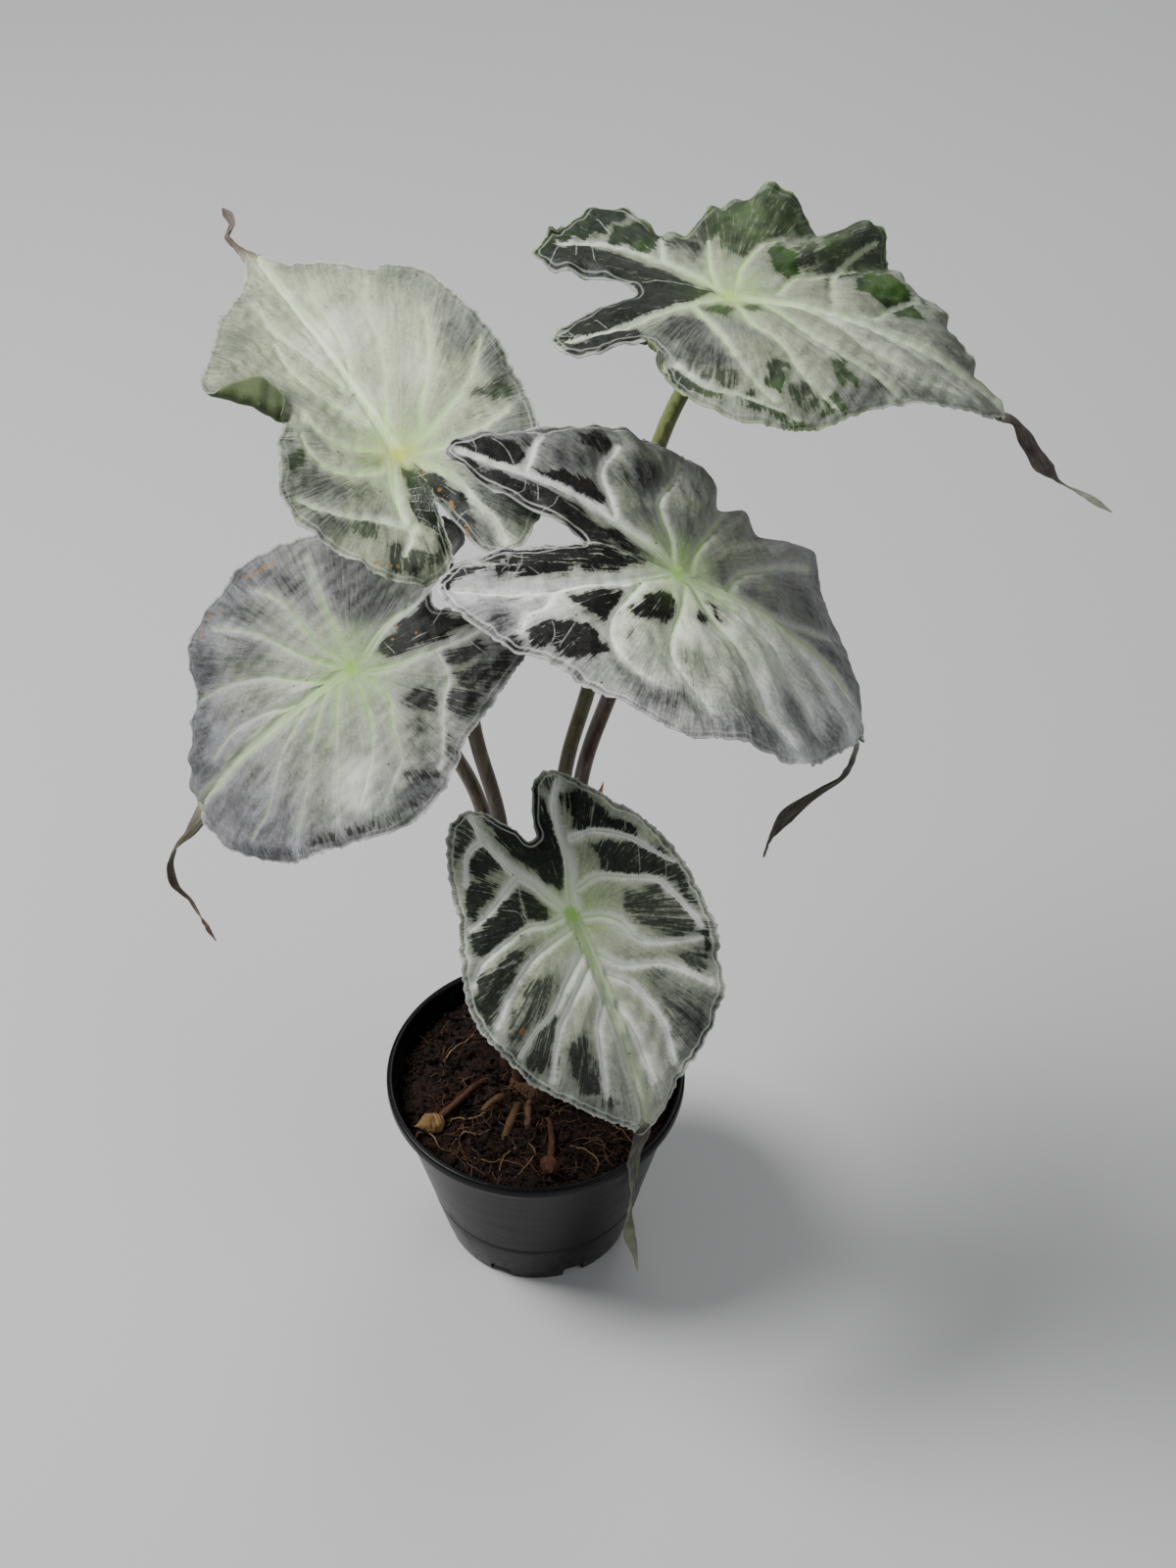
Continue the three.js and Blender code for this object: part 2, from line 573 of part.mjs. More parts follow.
function potSolid() {
  const shell = turned([
    [0, 0], [BASE_RADIUS - 1.2, 0], [BASE_RADIUS, 1.2],
    [wallRadius(30), 30], [wallRadius(60), 60],
    [neckRadius, lipBottom], [RIM_RADIUS - 0.5, lipBottom + 0.5],
    [RIM_RADIUS, lipBottom + 1.4], [RIM_RADIUS, POT_HEIGHT - 1], [RIM_RADIUS - 0.9, POT_HEIGHT],
    [RIM_RADIUS - 2, POT_HEIGHT], [RIM_RADIUS - 2.5, POT_HEIGHT - 0.9], [RIM_RADIUS - 2.7, lipBottom + 1.6],
    [neckRadius - WALL, lipBottom - 0.6], [wallRadius(60) - WALL, 60], [wallRadius(30) - WALL, 30],
    [BASE_RADIUS - WALL, FLOOR_THICKNESS + 0.6], [BASE_RADIUS - WALL - 1, FLOOR_THICKNESS],
    [0, FLOOR_THICKNESS],
  ], POT_SIDES);
  let pot = shell;
  for (let k = 0; k < DRAIN_HOLES; k += 1) {
    const cutter = new THREE.BoxGeometry(14, DRAIN_WIDTH, DRAIN_HEIGHT * 2);
    cutter.translate(BASE_RADIUS, 0, 0);
    cutter.rotateZ((2 * Math.PI * (k + 0.5)) / DRAIN_HOLES);
    pot = pot.subtract(solidFromGeometry(cutter));
  }
  return pot;
}

// Merges a geometry's equal corners and makes a solid of it.
function solidFromGeometry(geometry) {
  const position = geometry.getAttribute('position');
  const seen = new Map();
  const points = [];
  const index = [];
  for (let i = 0; i < position.count; i += 1) {
    const p = V(position.getX(i), position.getY(i), position.getZ(i));
    const key = [p.x, p.y, p.z].map((v) => v.toFixed(4)).join();
    if (!seen.has(key)) {
      seen.set(key, points.length);
      points.push(p);
    }
    index.push(seen.get(key));
  }
  const faces = [];
  for (let i = 0; i < geometry.index.count; i += 3) {
    const face = [0, 1, 2].map((k) => index[geometry.index.getX(i + k)]);
    if (new Set(face).size === 3) {
      faces.push(face);
    }
  }
  return toSolid(points, faces);
}

// Lumpy top of the soil, a little higher round the corm than at the wall.
function soilTop(x, y) {
  const lumps = Math.sin(x * 0.9 + 1.3) * Math.cos(y * 0.8 - 0.4)
    + 0.7 * Math.sin(x * 0.37 - y * 0.51 + 2)
    + 0.5 * Math.sin(x * 1.7 + y * 1.3);
  return SOIL_LEVEL + 1.2 * Math.exp(-(x * x + y * y) / 600) + SOIL_LUMPS * 0.45 * lumps;
}

function soilSolid() {
  const shares = [0.14, 0.29, 0.43, 0.57, 0.7, 0.82, 0.92, 1];
  const bottom = FLOOR_THICKNESS + GAP;
  const radiusAt = (z) => wallRadius(z) - WALL - GAP - 0.25;
  const levels = [60, 30, FLOOR_THICKNESS + 1.4, bottom];
  const points = [V(0, 0, soilTop(0, 0)), V(0, 0, bottom)];
  const perSide = shares.length + levels.length;
  for (let k = 0; k < SOIL_SIDES; k += 1) {
    const c = Math.cos((2 * Math.PI * k) / SOIL_SIDES);
    const s = Math.sin((2 * Math.PI * k) / SOIL_SIDES);
    for (const share of shares) {
      const r = share * radiusAt(SOIL_LEVEL - 2);
      points.push(V(r * c, r * s, soilTop(r * c, r * s)));
    }
    levels.forEach((z, i) => {
      const r = radiusAt(z) - (i > 1 ? 1.2 * (i - 1) : 0);
      points.push(V(r * c, r * s, z));
    });
  }
  const at = (k, j) => 2 + (k % SOIL_SIDES) * perSide + j;
  const faces = [];
  for (let k = 0; k < SOIL_SIDES; k += 1) {
    faces.push([0, at(k, 0), at(k + 1, 0)], [1, at(k + 1, perSide - 1), at(k, perSide - 1)]);
    for (let j = 0; j + 1 < perSide; j += 1) {
      faces.push([at(k, j), at(k, j + 1), at(k + 1, j + 1)], [at(k, j), at(k + 1, j + 1), at(k + 1, j)]);
    }
  }
  return toSolid(points, faces);
}

// Corm with its anchor roots, and the two offsets on runners
const ANCHOR_ROOTS = [
  { path: [[-6, -4, 74], [-8, -13, 79.5], [-11, -22, 79], [-14, -31, 75]], radius: [2, 1.7, 1.5, 1.1] },
  { path: [[-9, -2, 74], [-15, -7, 79.6], [-20, -11, 78.6], [-25, -16, 75]], radius: [1.9, 1.6, 1.4, 1] },
  { path: [[-2, -4, 74], [-3, -11, 79.3], [-3, -18, 79], [-4, -26, 75]], radius: [1.8, 1.6, 1.3, 1] },
  { path: [[11, -2, 74], [17, -6, 79.4], [23, -9, 78.4], [28, -13, 75]], radius: [1.8, 1.5, 1.3, 1] },
  { path: [[-2, 14, 74], [-5, 21, 79.2], [-9, 27, 78], [-12, 33, 75]], radius: [1.8, 1.5, 1.2, 1] },
  { path: [[11, 10, 74], [17, 15, 79.2], [22, 21, 78], [27, 26, 75]], radius: [1.8, 1.5, 1.2, 1] },
];
const OFFSETS = {
  left_offset: {
    centre: [-42, -21, 80.6], lean: [-0.75, -0.45, 0.35], length: 13, radius: 4.3,
    runner: [[-40, -19, 80.4], [-33, -12, 81.2], [-25, -2, 80.6], [-19.5, 4, 78.2]], thickness: 1.15,
    colour: 0x8a6238,
  },
  front_offset: {
    centre: [6, -42, 80.4], lean: [0.1, -0.75, 0.4], length: 11, radius: 3.9,
    runner: [[6, -39, 80.6], [6.6, -31, 81.4], [6, -23, 80.6], [5, -16.5, 78.2]], thickness: 1.1,
    colour: 0x5b3323,
  },
};

function tubeSolid(path, radii, extra, sides) {
  const fine = smoothPath(path, 2);
  const { points, faces } = loft(roundRows(fine, (t) => valueAlong(radii, t) + extra, sides));
  return toSolid(points, faces);
}

function cormSolid(extra) {
  const ball = new THREE.SphereGeometry(1, 16, 10);
  ball.rotateX(Math.PI / 2);
  ball.scale(...CORM_AXES.map((v) => v + extra));
  ball.translate(...CORM_CENTRE);
  let corm = solidFromGeometry(ball);
  for (const { path, radius } of ANCHOR_ROOTS) {
    corm = corm.add(tubeSolid(path, radius, extra, ROOT_SIDES));
  }
  return corm;
}

// A runner that ends in a small pointed corm.
function offsetSolid(offset, extra) {
  const { centre, lean, length, radius, runner, thickness } = offset;
  const axis = V(...lean).normalize();
  const shape = [[-0.5, 0.12], [-0.42, 0.62], [-0.22, 0.95], [0, 1], [0.2, 0.8], [0.36, 0.45], [0.5, 0.1]];
  const path = shape.map(([t]) => V(...centre).addScaledVector(axis, t * length + Math.sign(t) * extra));
  const rows = roundRows(path, (t) => valueAlong(shape.map(([, r]) => r), t) * radius + extra, 9);
  const { points, faces } = loft(rows);
  const runnerRadii = [thickness * 1.3, thickness, thickness, thickness];
  return toSolid(points, faces).add(tubeSolid(runner, runnerRadii, extra, RUNNER_SIDES));
}

// Assembly
const plant = new THREE.Group();
plant.name = 'potted_venom_alocasia';

function addNode(name, solid, colour, roughness) {
  const material = new THREE.MeshStandardMaterial({ color: colour, roughness, metalness: 0 });
  const mesh = new THREE.Mesh(fromSolid(solid), material);
  mesh.name = name;
  plant.add(mesh);
}

let corm = cormSolid(0);
let soil = soilSolid().subtract(cormSolid(GAP));
const STALK_COLOURS = {
  upper_left: 0x4c3f2b, left: 0x4a3d29, centre: 0x3a2a1e, upper_right: 0x5d5a36, front: 0x4c4a2e,
};
for (const [name, leaf] of Object.entries(LEAVES)) {
  const socket = stalkSolid(leaf, STALK_FOOT_LEVEL - GAP, GAP);
  corm = corm.subtract(socket);
  soil = soil.subtract(socket);
  addNode(`blade_${name}`, bladeSolid(leaf), leaf.colour, 0.5);
}
for (const [name, leaf] of Object.entries(LEAVES)) {
  addNode(`stalk_${name}`, stalkSolid(leaf, STALK_FOOT_LEVEL, 0), STALK_COLOURS[name], 0.55);
}
for (const [name, offset] of Object.entries(OFFSETS)) {
  soil = soil.subtract(offsetSolid(offset, GAP));
  corm = corm.subtract(offsetSolid(offset, GAP));
  addNode(name, offsetSolid(offset, 0), offset.colour, 0.75);
}
addNode('corm', corm, 0x5a3d26, 0.8);
addNode('soil', soil, 0x2a1a12, 0.95);
addNode('pot', potSolid(), 0x121212, 0.45);

export default plant;
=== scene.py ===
# Potted venom alocasia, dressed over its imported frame: silver leaves, stalks, corm, soil and pot.
# The lists of places are in millimetres, as in the CAD source, and each piece is made in metres.
import math
from types import SimpleNamespace

import bpy
import numpy as np
from mathutils import Matrix, Vector


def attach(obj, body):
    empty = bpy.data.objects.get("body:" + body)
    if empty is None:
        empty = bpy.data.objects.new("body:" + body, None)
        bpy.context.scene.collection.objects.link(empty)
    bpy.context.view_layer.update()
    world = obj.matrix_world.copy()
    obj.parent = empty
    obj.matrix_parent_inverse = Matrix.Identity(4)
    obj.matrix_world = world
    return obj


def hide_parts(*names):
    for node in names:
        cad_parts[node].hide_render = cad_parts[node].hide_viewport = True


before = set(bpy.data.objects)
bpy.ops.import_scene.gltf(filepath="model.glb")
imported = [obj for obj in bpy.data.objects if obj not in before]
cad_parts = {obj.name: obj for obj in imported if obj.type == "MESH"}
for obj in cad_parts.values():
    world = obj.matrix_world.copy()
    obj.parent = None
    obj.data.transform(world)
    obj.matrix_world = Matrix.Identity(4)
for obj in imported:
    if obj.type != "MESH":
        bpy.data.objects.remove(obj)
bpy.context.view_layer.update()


# Camera, floor and light
# The camera stands 0.75 m in front of the pot and 1 m up, and looks down at the plant by 45 degrees. The
# floor is one plain pale sheet of paper, and three broad soft lamps hang round the plant.
class Tree:
    """Adds nodes to one node tree. A value may be a number, a colour or another node's output."""

    def __init__(self, tree):
        self.tree = tree

    def add(self, kind, settings=None, **inputs):
        node = self.tree.nodes.new(kind)
        for name, value in (settings or {}).items():
            setattr(node, name, value)
        for name, value in inputs.items():
            self.set(node.inputs[name.replace("_", " ")], value)
        return node

    def set(self, socket, value):
        if isinstance(value, bpy.types.NodeSocket):
            self.tree.links.new(value, socket)
        elif socket.type == "RGBA" and len(value) == 3:
            socket.default_value = (*value, 1)
        else:
            socket.default_value = value

    def math(self, operation, a, b=0.0, c=0.0, clamp=False):
        node = self.tree.nodes.new("ShaderNodeMath")
        node.operation = operation
        node.use_clamp = clamp
        for socket, value in zip(node.inputs, (a, b, c)):
            self.set(socket, value)
        return node.outputs[0]

    def plus(self, a, b):
        return self.math("ADD", a, b)

    def minus(self, a, b):
        return self.math("SUBTRACT", a, b)

    def times(self, a, b):
        return self.math("MULTIPLY", a, b)

    def scaled(self, value, by, plus):
        return self.math("MULTIPLY_ADD", value, by, plus)

    def larger(self, a, b):
        return self.math("MAXIMUM", a, b)

    def apart(self, a, b):
        """How far apart two values are."""
        return self.math("ABSOLUTE", self.minus(a, b))

    def step(self, value, start, end, low=0.0, high=1.0):
        """Goes smoothly from low to high while value goes from start to end."""
        node = self.add("ShaderNodeMapRange", {"interpolation_type": "SMOOTHSTEP"}, Value=value)
        for name, number in zip(("From Min", "From Max", "To Min", "To Max"), (start, end, low, high)):
            self.set(node.inputs[name], number)
        return node.outputs["Result"]

    def mix(self, share, a, b, blend="MIX"):
        node = self.add("ShaderNodeMix", {"data_type": "RGBA", "blend_type": blend})
        for index, value in ((0, share), (6, a), (7, b)):
            self.set(node.inputs[index], value)
        return node.outputs[2]

    def noise(self, vector, scale, detail=2.0, roughness=0.5):
        node = self.add("ShaderNodeTexNoise", Scale=scale, Detail=detail, Roughness=roughness)
        self.set(node.inputs["Vector"], vector)
        return node.outputs["Fac"]

    def vector(self, x, y, z):
        return self.add("ShaderNodeCombineXYZ", X=x, Y=y, Z=z).outputs[0]

    def parts(self, vector):
        return self.add("ShaderNodeSeparateXYZ", Vector=vector).outputs

    def vmath(self, operation, a, b=None):
        node = self.add("ShaderNodeVectorMath", {"operation": operation})
        self.set(node.inputs[0], a)
        if b is not None:
            self.set(node.inputs[1], b)
        return node.outputs["Value" if operation == "LENGTH" else "Vector"]

    def place(self):
        return self.add("ShaderNodeTexCoord").outputs["Object"]

    def bump(self, height, distance, strength=1.0):
        node = self.add("ShaderNodeBump", Height=height, Distance=distance, Strength=strength)
        return node.outputs["Normal"]

    def attribute(self, name, output="Fac"):
        return self.add("ShaderNodeAttribute", {"attribute_name": name}).outputs[output]


def new_material(name):
    """Makes a material, and gives it with the tree helper and its Principled shader."""
    material = bpy.data.materials.new(name)
    material.use_nodes = True
    return material, Tree(material.node_tree), material.node_tree.nodes["Principled BSDF"]


camera_data = bpy.data.cameras.new("camera")
camera_data.lens = 67.185
camera_data.sensor_width = 36
camera = bpy.data.objects.new("camera", camera_data)
camera.location = (0.021, -0.747, 1.004)
camera.rotation_euler = (math.radians(44.8), 0, 0)
bpy.context.scene.collection.objects.link(camera)
bpy.context.scene.camera = camera

FLOOR_HALF = 6
floor_corners = [(x * FLOOR_HALF, y * FLOOR_HALF, 0) for x, y in ((-1, -1), (1, -1), (1, 1), (-1, 1))]
floor_mesh = bpy.data.meshes.new("floor")
floor_mesh.from_pydata(floor_corners, [], [(0, 1, 2, 3)])
floor = bpy.data.objects.new("floor", floor_mesh)
bpy.context.scene.collection.objects.link(floor)
paper, tree, shader = new_material("floor_paper")
shade = tree.noise(tree.place(), 1.5, 2)
tree.set(shader.inputs["Base Color"], tree.mix(shade, (0.42, 0.42, 0.42), (0.46, 0.46, 0.455)))
shader.inputs["Roughness"].default_value = 0.9
floor_mesh.materials.append(paper)

for name, place, aim, size, power in (
    ("key_lamp", (-0.9, 0.1, 1.4), (0, 0, 0.3), 0.6, 40),
    ("fill_lamp", (1.1, -0.7, 1.0), (0, 0, 0.2), 1.0, 6),
    ("back_lamp", (0.4, 1.1, 1.2), (0, 0, 0.3), 0.9, 8),
):
    lamp_data = bpy.data.lights.new(name, "AREA")
    lamp_data.shape = "DISK"
    lamp_data.size = size
    lamp_data.energy = power
    lamp = bpy.data.objects.new(name, lamp_data)
    lamp.location = place
    lamp.rotation_euler = (Vector(aim) - Vector(place)).to_track_quat("-Z", "Y").to_euler()
    bpy.context.scene.collection.objects.link(lamp)
world = bpy.data.worlds.new("studio")
world.use_nodes = True
glow = world.node_tree.nodes["Background"]
glow.inputs["Color"].default_value = (0.9, 0.93, 1, 1)
glow.inputs["Strength"].default_value = 0.25
bpy.context.scene.world = world


# Pot
# A 12 cm nursery pot, moulded in one shot of black polypropylene. Its rim is rolled outward over a
# small step, its wall tapers straight down, and eight drain notches cut the corner of its floor.
RIM_RADIUS = 60
POT_HEIGHT = 88
BASE_RADIUS = 38.5
WALL = 1.3
LIP_BOTTOM = 83
NECK_RADIUS = 57.4
FLOOR_THICKNESS = 2
BAND_BOTTOM = 26
BAND_TOP = 78
BAND_DEPTH = 0.25
POT_SIDES = 160
DRAINS = 8


def wall_radius(z):
    """The outer radius of the pot's wall at a height."""
    return BASE_RADIUS + (NECK_RADIUS - BASE_RADIUS) * z / LIP_BOTTOM


def add_piece(name, points, faces, materials, slot, *nodes, smooth=True):
    """Makes one mesh piece from points in millimetres, and fastens it to the frame."""
    mesh = bpy.data.meshes.new(name)
    mesh.from_pydata((np.asarray(points, float) / 1000).tolist(), [], [list(map(int, f)) for f in faces])
    for material in materials:
        mesh.materials.append(material)
    if smooth:
        mesh.shade_smooth()
    else:
        mesh.shade_flat()
    piece = bpy.data.objects.new(name, mesh)
    bpy.context.scene.collection.objects.link(piece)
    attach(piece, "root")
    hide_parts(*nodes)
    return piece


def turned(profile, sides):
    """Turns a profile of radius and height about the Z axis, closed by a fan at each end."""
    angles = np.arange(sides) * 2 * np.pi / sides
    points = [(0, 0, profile[0][1]), (0, 0, profile[-1][1])]
    inner = profile[1:-1]
    for a in angles:
        points += [(r * np.cos(a), r * np.sin(a), z) for r, z in inner]
    at = lambda k, j: 2 + (k % sides) * len(inner) + j
    faces = []
    for k in range(sides):
        faces.append((0, at(k + 1, 0), at(k, 0)))
        faces.append((1, at(k, len(inner) - 1), at(k + 1, len(inner) - 1)))
        faces += [(at(k, j), at(k + 1, j), at(k + 1, j + 1), at(k, j + 1)) for j in range(len(inner) - 1)]
    return points, faces


def rounded(corners, steps=4):
    """Rounds each inner corner of a profile, given as radius, height and rounding."""
    out = [corners[0][:2]]
    for (ax, ay, _), (bx, by, r), (cx, cy, _) in zip(corners, corners[1:], corners[2:]):
        before = np.array([ax - bx, ay - by]) / math.hypot(ax - bx, ay - by)
        after = np.array([cx - bx, cy - by]) / math.hypot(cx - bx, cy - by)
        for i in range(steps + 1):
            t = i / steps
            shift = r * ((1 - t) ** 2 * before + t ** 2 * after)
            out.append((bx + shift[0], by + shift[1]))
    out.append(corners[-1][:2])
    return out


pot_profile = rounded([
    (0, 0, 0), (6, 0, 0.5), (6.6, 0.7, 0.4), (BASE_RADIUS - 7, 0.7, 0.4), (BASE_RADIUS - 6, 0, 0.4),
    (BASE_RADIUS, 0, 1.2), (wall_radius(BAND_BOTTOM), BAND_BOTTOM, 3),
    (wall_radius(BAND_BOTTOM + 0.6) - BAND_DEPTH, BAND_BOTTOM + 0.6, 0.3),
    (wall_radius(BAND_TOP) - BAND_DEPTH, BAND_TOP, 0.5), (wall_radius(BAND_TOP + 0.6), BAND_TOP + 0.6, 0.3),
    (NECK_RADIUS, LIP_BOTTOM, 0.5), (RIM_RADIUS, LIP_BOTTOM + 0.2, 1.0), (RIM_RADIUS, POT_HEIGHT, 1.3),
    (RIM_RADIUS - 2.5, POT_HEIGHT, 1.1), (RIM_RADIUS - 2.7, LIP_BOTTOM + 1.6, 0.9),
    (NECK_RADIUS - WALL, LIP_BOTTOM - 0.6, 0.6), (wall_radius(40) - WALL, 40, 3),
    (BASE_RADIUS - WALL, FLOOR_THICKNESS, 1), (0, FLOOR_THICKNESS, 0),
])


def make_mottling():
    """A node group for uneven skins: noise of one scale, and a mask that goes from low to high."""
    group = bpy.data.node_groups.new("mottling", "ShaderNodeTree")
    for title, kind, value in (("Place", "NodeSocketVector", None), ("Scale", "NodeSocketFloat", 1),
                               ("Detail", "NodeSocketFloat", 2), ("Coarseness", "NodeSocketFloat", 0.5),
                               ("Low", "NodeSocketFloat", 0.35), ("High", "NodeSocketFloat", 0.65),
                               ("Least", "NodeSocketFloat", 0), ("Most", "NodeSocketFloat", 1)):
        socket = group.interface.new_socket(name=title, in_out="INPUT", socket_type=kind)
        if value is not None:
            socket.default_value = value
    for title in ("Mask", "Height"):
        group.interface.new_socket(name=title, in_out="OUTPUT", socket_type="NodeSocketFloat")
    inner = Tree(group)
    given = inner.add("NodeGroupInput").outputs
    noise = inner.noise(given["Place"], given["Scale"], given["Detail"], given["Coarseness"])
    mask = inner.step(noise, given["Low"], given["High"], given["Least"], given["Most"])
    inner.add("NodeGroupOutput", Mask=mask, Height=noise)
    return group


mottling = make_mottling()


def mottled(tree, place, scale, detail=2, coarseness=0.5, low=0.35, high=0.65, least=0, most=1):
    """Places the mottling group, and gives its mask and its height."""
    node = tree.add("ShaderNodeGroup", {"node_tree": mottling}, Place=place, Scale=scale, Detail=detail,
                    Coarseness=coarseness, Low=low, High=high, Least=least, Most=most)
    return node.outputs["Mask"], node.outputs["Height"]


plastic, tree, shader = new_material("pot_plastic")
spot = tree.place()
dust, _ = mottled(tree, spot, 60, 5, 0.62, 0.52, 0.78)
streak = tree.add("ShaderNodeMapping", Vector=spot, Scale=(1, 1, 0.08)).outputs["Vector"]
scuff, _ = mottled(tree, streak, 420, 3, 0.6, 0.6, 0.75)
low = tree.parts(spot)["Z"]
splash = tree.times(tree.step(low, 0.03, 0.0), mottled(tree, spot, 240, 3, 0.5, 0.45, 0.62)[0])
colour = tree.mix(tree.times(dust, 0.5), (0.004, 0.004, 0.005), (0.02, 0.018, 0.016))
colour = tree.mix(tree.times(scuff, 0.35), colour, (0.034, 0.033, 0.032))
colour = tree.mix(tree.times(splash, 0.3), colour, (0.09, 0.07, 0.055))
tree.set(shader.inputs["Base Color"], colour)
tree.set(shader.inputs["Roughness"], tree.step(tree.plus(dust, scuff), 0, 1.2, 0.3, 0.54))
shader.inputs["Specular IOR Level"].default_value = 0.12
grain = tree.noise(spot, 1500, 2)
ripple = tree.noise(tree.add("ShaderNodeMapping", Vector=spot, Scale=(1, 1, 3)).outputs["Vector"], 45, 1)
tree.set(shader.inputs["Normal"], tree.bump(tree.scaled(grain, 0.12, ripple), 0.0003, 0.6))

points, faces = turned(pot_profile, POT_SIDES)
pot = add_piece("nursery_pot", points, faces, [plastic], "pot_plastic", "pot")
notch = ((-4.5, -6), (4.5, -6), (4.5, 5), (3.5, 6), (-3.5, 6), (-4.5, 5))
cutter_corners = []
cutter_faces = []
for k in range(DRAINS):
    turn = Matrix.Rotation(math.radians(360 / DRAINS * (k + 0.5)), 4, "Z")
    base = len(cutter_corners)
    for x in (-7, 7):
        cutter_corners += [turn @ Vector((BASE_RADIUS + x, y, z)) / 1000 for y, z in notch]
    cutter_faces.append([base + i for i in range(5, -1, -1)])
    cutter_faces.append([base + 6 + i for i in range(6)])
    cutter_faces += [[base + i, base + (i + 1) % 6, base + 6 + (i + 1) % 6, base + 6 + i] for i in range(6)]
cutter_mesh = bpy.data.meshes.new("drain_cutter")
cutter_mesh.from_pydata(cutter_corners, [], cutter_faces)
cutter = bpy.data.objects.new("drain_cutter", cutter_mesh)
bpy.context.scene.collection.objects.link(cutter)


def apply_modifiers(piece):
    """Makes a piece's modifiers part of its mesh."""
    bpy.context.view_layer.update()
    done = bpy.data.meshes.new_from_object(piece.evaluated_get(bpy.context.evaluated_depsgraph_get()))
    piece.modifiers.clear()
    piece.data = done


drains = pot.modifiers.new("drain_notches", "BOOLEAN")
drains.operation = "DIFFERENCE"
drains.object = cutter
apply_modifiers(pot)
pot.data.set_sharp_from_angle(angle=math.radians(40))
bpy.data.objects.remove(cutter)


# Potting mix
# Damp coco fibre and peat, filled to a centimetre under the rim: one crumbly body, with loose crumbs and
# curled strands of coco fibre lying on it.
chance = np.random.default_rng(4520)
SOIL_LEVEL = 78
SOIL_GAP = 0.55
SOIL_SIDES = 200
SOIL_RINGS = 84
CRUMBS = 2300
CRUMB_REACH = 55.3
STRANDS = 360
STRAND_REACH = 50
STRAND_STEPS = 9


def srgb(*levels):
    """A shader colour from red, green and blue levels up to 255."""
    return tuple(v / 255 / 12.92 if v < 10.3 else ((v / 255 + 0.055) / 1.055) ** 2.4 for v in levels)


def smooth_path(points, steps, closed=False):
    """A centripetal curve through points, with the same number of steps between each pair."""
    p = np.asarray(points, float)
    if closed:
        p = np.vstack([p[-1:], p, p[:2]])
    else:
        p = np.vstack([2 * p[:1] - p[1:2], p, 2 * p[-1:] - p[-2:-1]])
    t = np.arange(steps)[:, None] / steps
    out = []
    for a, b, c, d in zip(p, p[1:], p[2:], p[3:]):
        before, here, after = (max(np.linalg.norm(v - u), 1e-4) ** 0.5 for u, v in ((a, b), (b, c), (c, d)))
        m1 = ((b - a) / before - (c - a) / (before + here) + (c - b) / here) * here
        m2 = ((c - b) / here - (d - b) / (here + after) + (d - c) / after) * here
        out.append(b + m1 * t + (3 * (c - b) - 2 * m1 - m2) * t ** 2 + (2 * (b - c) + m1 + m2) * t ** 3)
    if not closed:
        out.append(p[-2:-1])
    return np.vstack(out)


def uneven(x, y, scale, seed):
    """Smooth uneven height between about -1 and 1, made of sine waves in seeded directions."""
    draw = np.random.default_rng(seed)
    total = 0
    for angle, phase, pitch in draw.uniform((0, 0, 0.6), (2 * np.pi, 2 * np.pi, 1.6), (8, 3)):
        total = total + np.sin((x * np.cos(angle) + y * np.sin(angle)) * pitch * 2 * np.pi / scale + phase)
    return total / 8 ** 0.5


def unit(v):
    return v / np.linalg.norm(v)


def carried(path, first_side):
    """Directions along a path, and a side direction that is carried along it without twist."""
    along = np.gradient(path, axis=0)
    along /= np.linalg.norm(along, axis=1)[:, None]
    sides = []
    side = np.asarray(first_side, float)
    for a in along:
        side = unit(side - a * (side @ a))
        sides.append(side)
    return along, np.array(sides)


def tube(path, radii, sides, first_side=(1, 0, 0), shape=None):
    """Rows of section points along a path, with faces and closed ends."""
    along, side = carried(path, first_side)
    other = np.cross(along, side)
    angles = np.arange(sides) * 2 * np.pi / sides
    radii = np.broadcast_to(np.asarray(radii, float).reshape(-1, 1), (len(path), sides))
    if shape is not None:
        radii = radii * shape
    points = path[:, None] + radii[..., None] * (side[:, None] * np.cos(angles)[:, None]
                                                + other[:, None] * np.sin(angles)[:, None])
    rows = len(path)
    at = lambda i, j: i * sides + j % sides
    faces = [(at(i, j), at(i, j + 1), at(i + 1, j + 1), at(i + 1, j))
             for i in range(rows - 1) for j in range(sides)]
    faces += [list(range(sides))[::-1], [at(rows - 1, j) for j in range(sides)]]
    return points.reshape(-1, 3), faces


def join(parts):
    """One list of points, faces and point colours from several."""
    points, faces, colours = [], [], []
    base = 0
    for part_points, part_faces, colour in parts:
        points.append(part_points)
        faces += [[base + v for v in face] for face in part_faces]
        colours.append(np.broadcast_to(colour, (len(part_points), 3)))
        base += len(part_points)
    return np.vstack(points), faces, np.vstack(colours)


def soil_top(x, y):
    """Height of the soil, as in the CAD source."""
    lumps = np.sin(x * 0.9 + 1.3) * np.cos(y * 0.8 - 0.4) + 0.7 * np.sin(x * 0.37 - y * 0.51 + 2)
    lumps = lumps + 0.5 * np.sin(x * 1.7 + y * 1.3)
    return SOIL_LEVEL + 1.2 * np.exp(-(x * x + y * y) / 600) + 0.495 * lumps


def soil_radius(z):
    return wall_radius(z) - WALL - SOIL_GAP


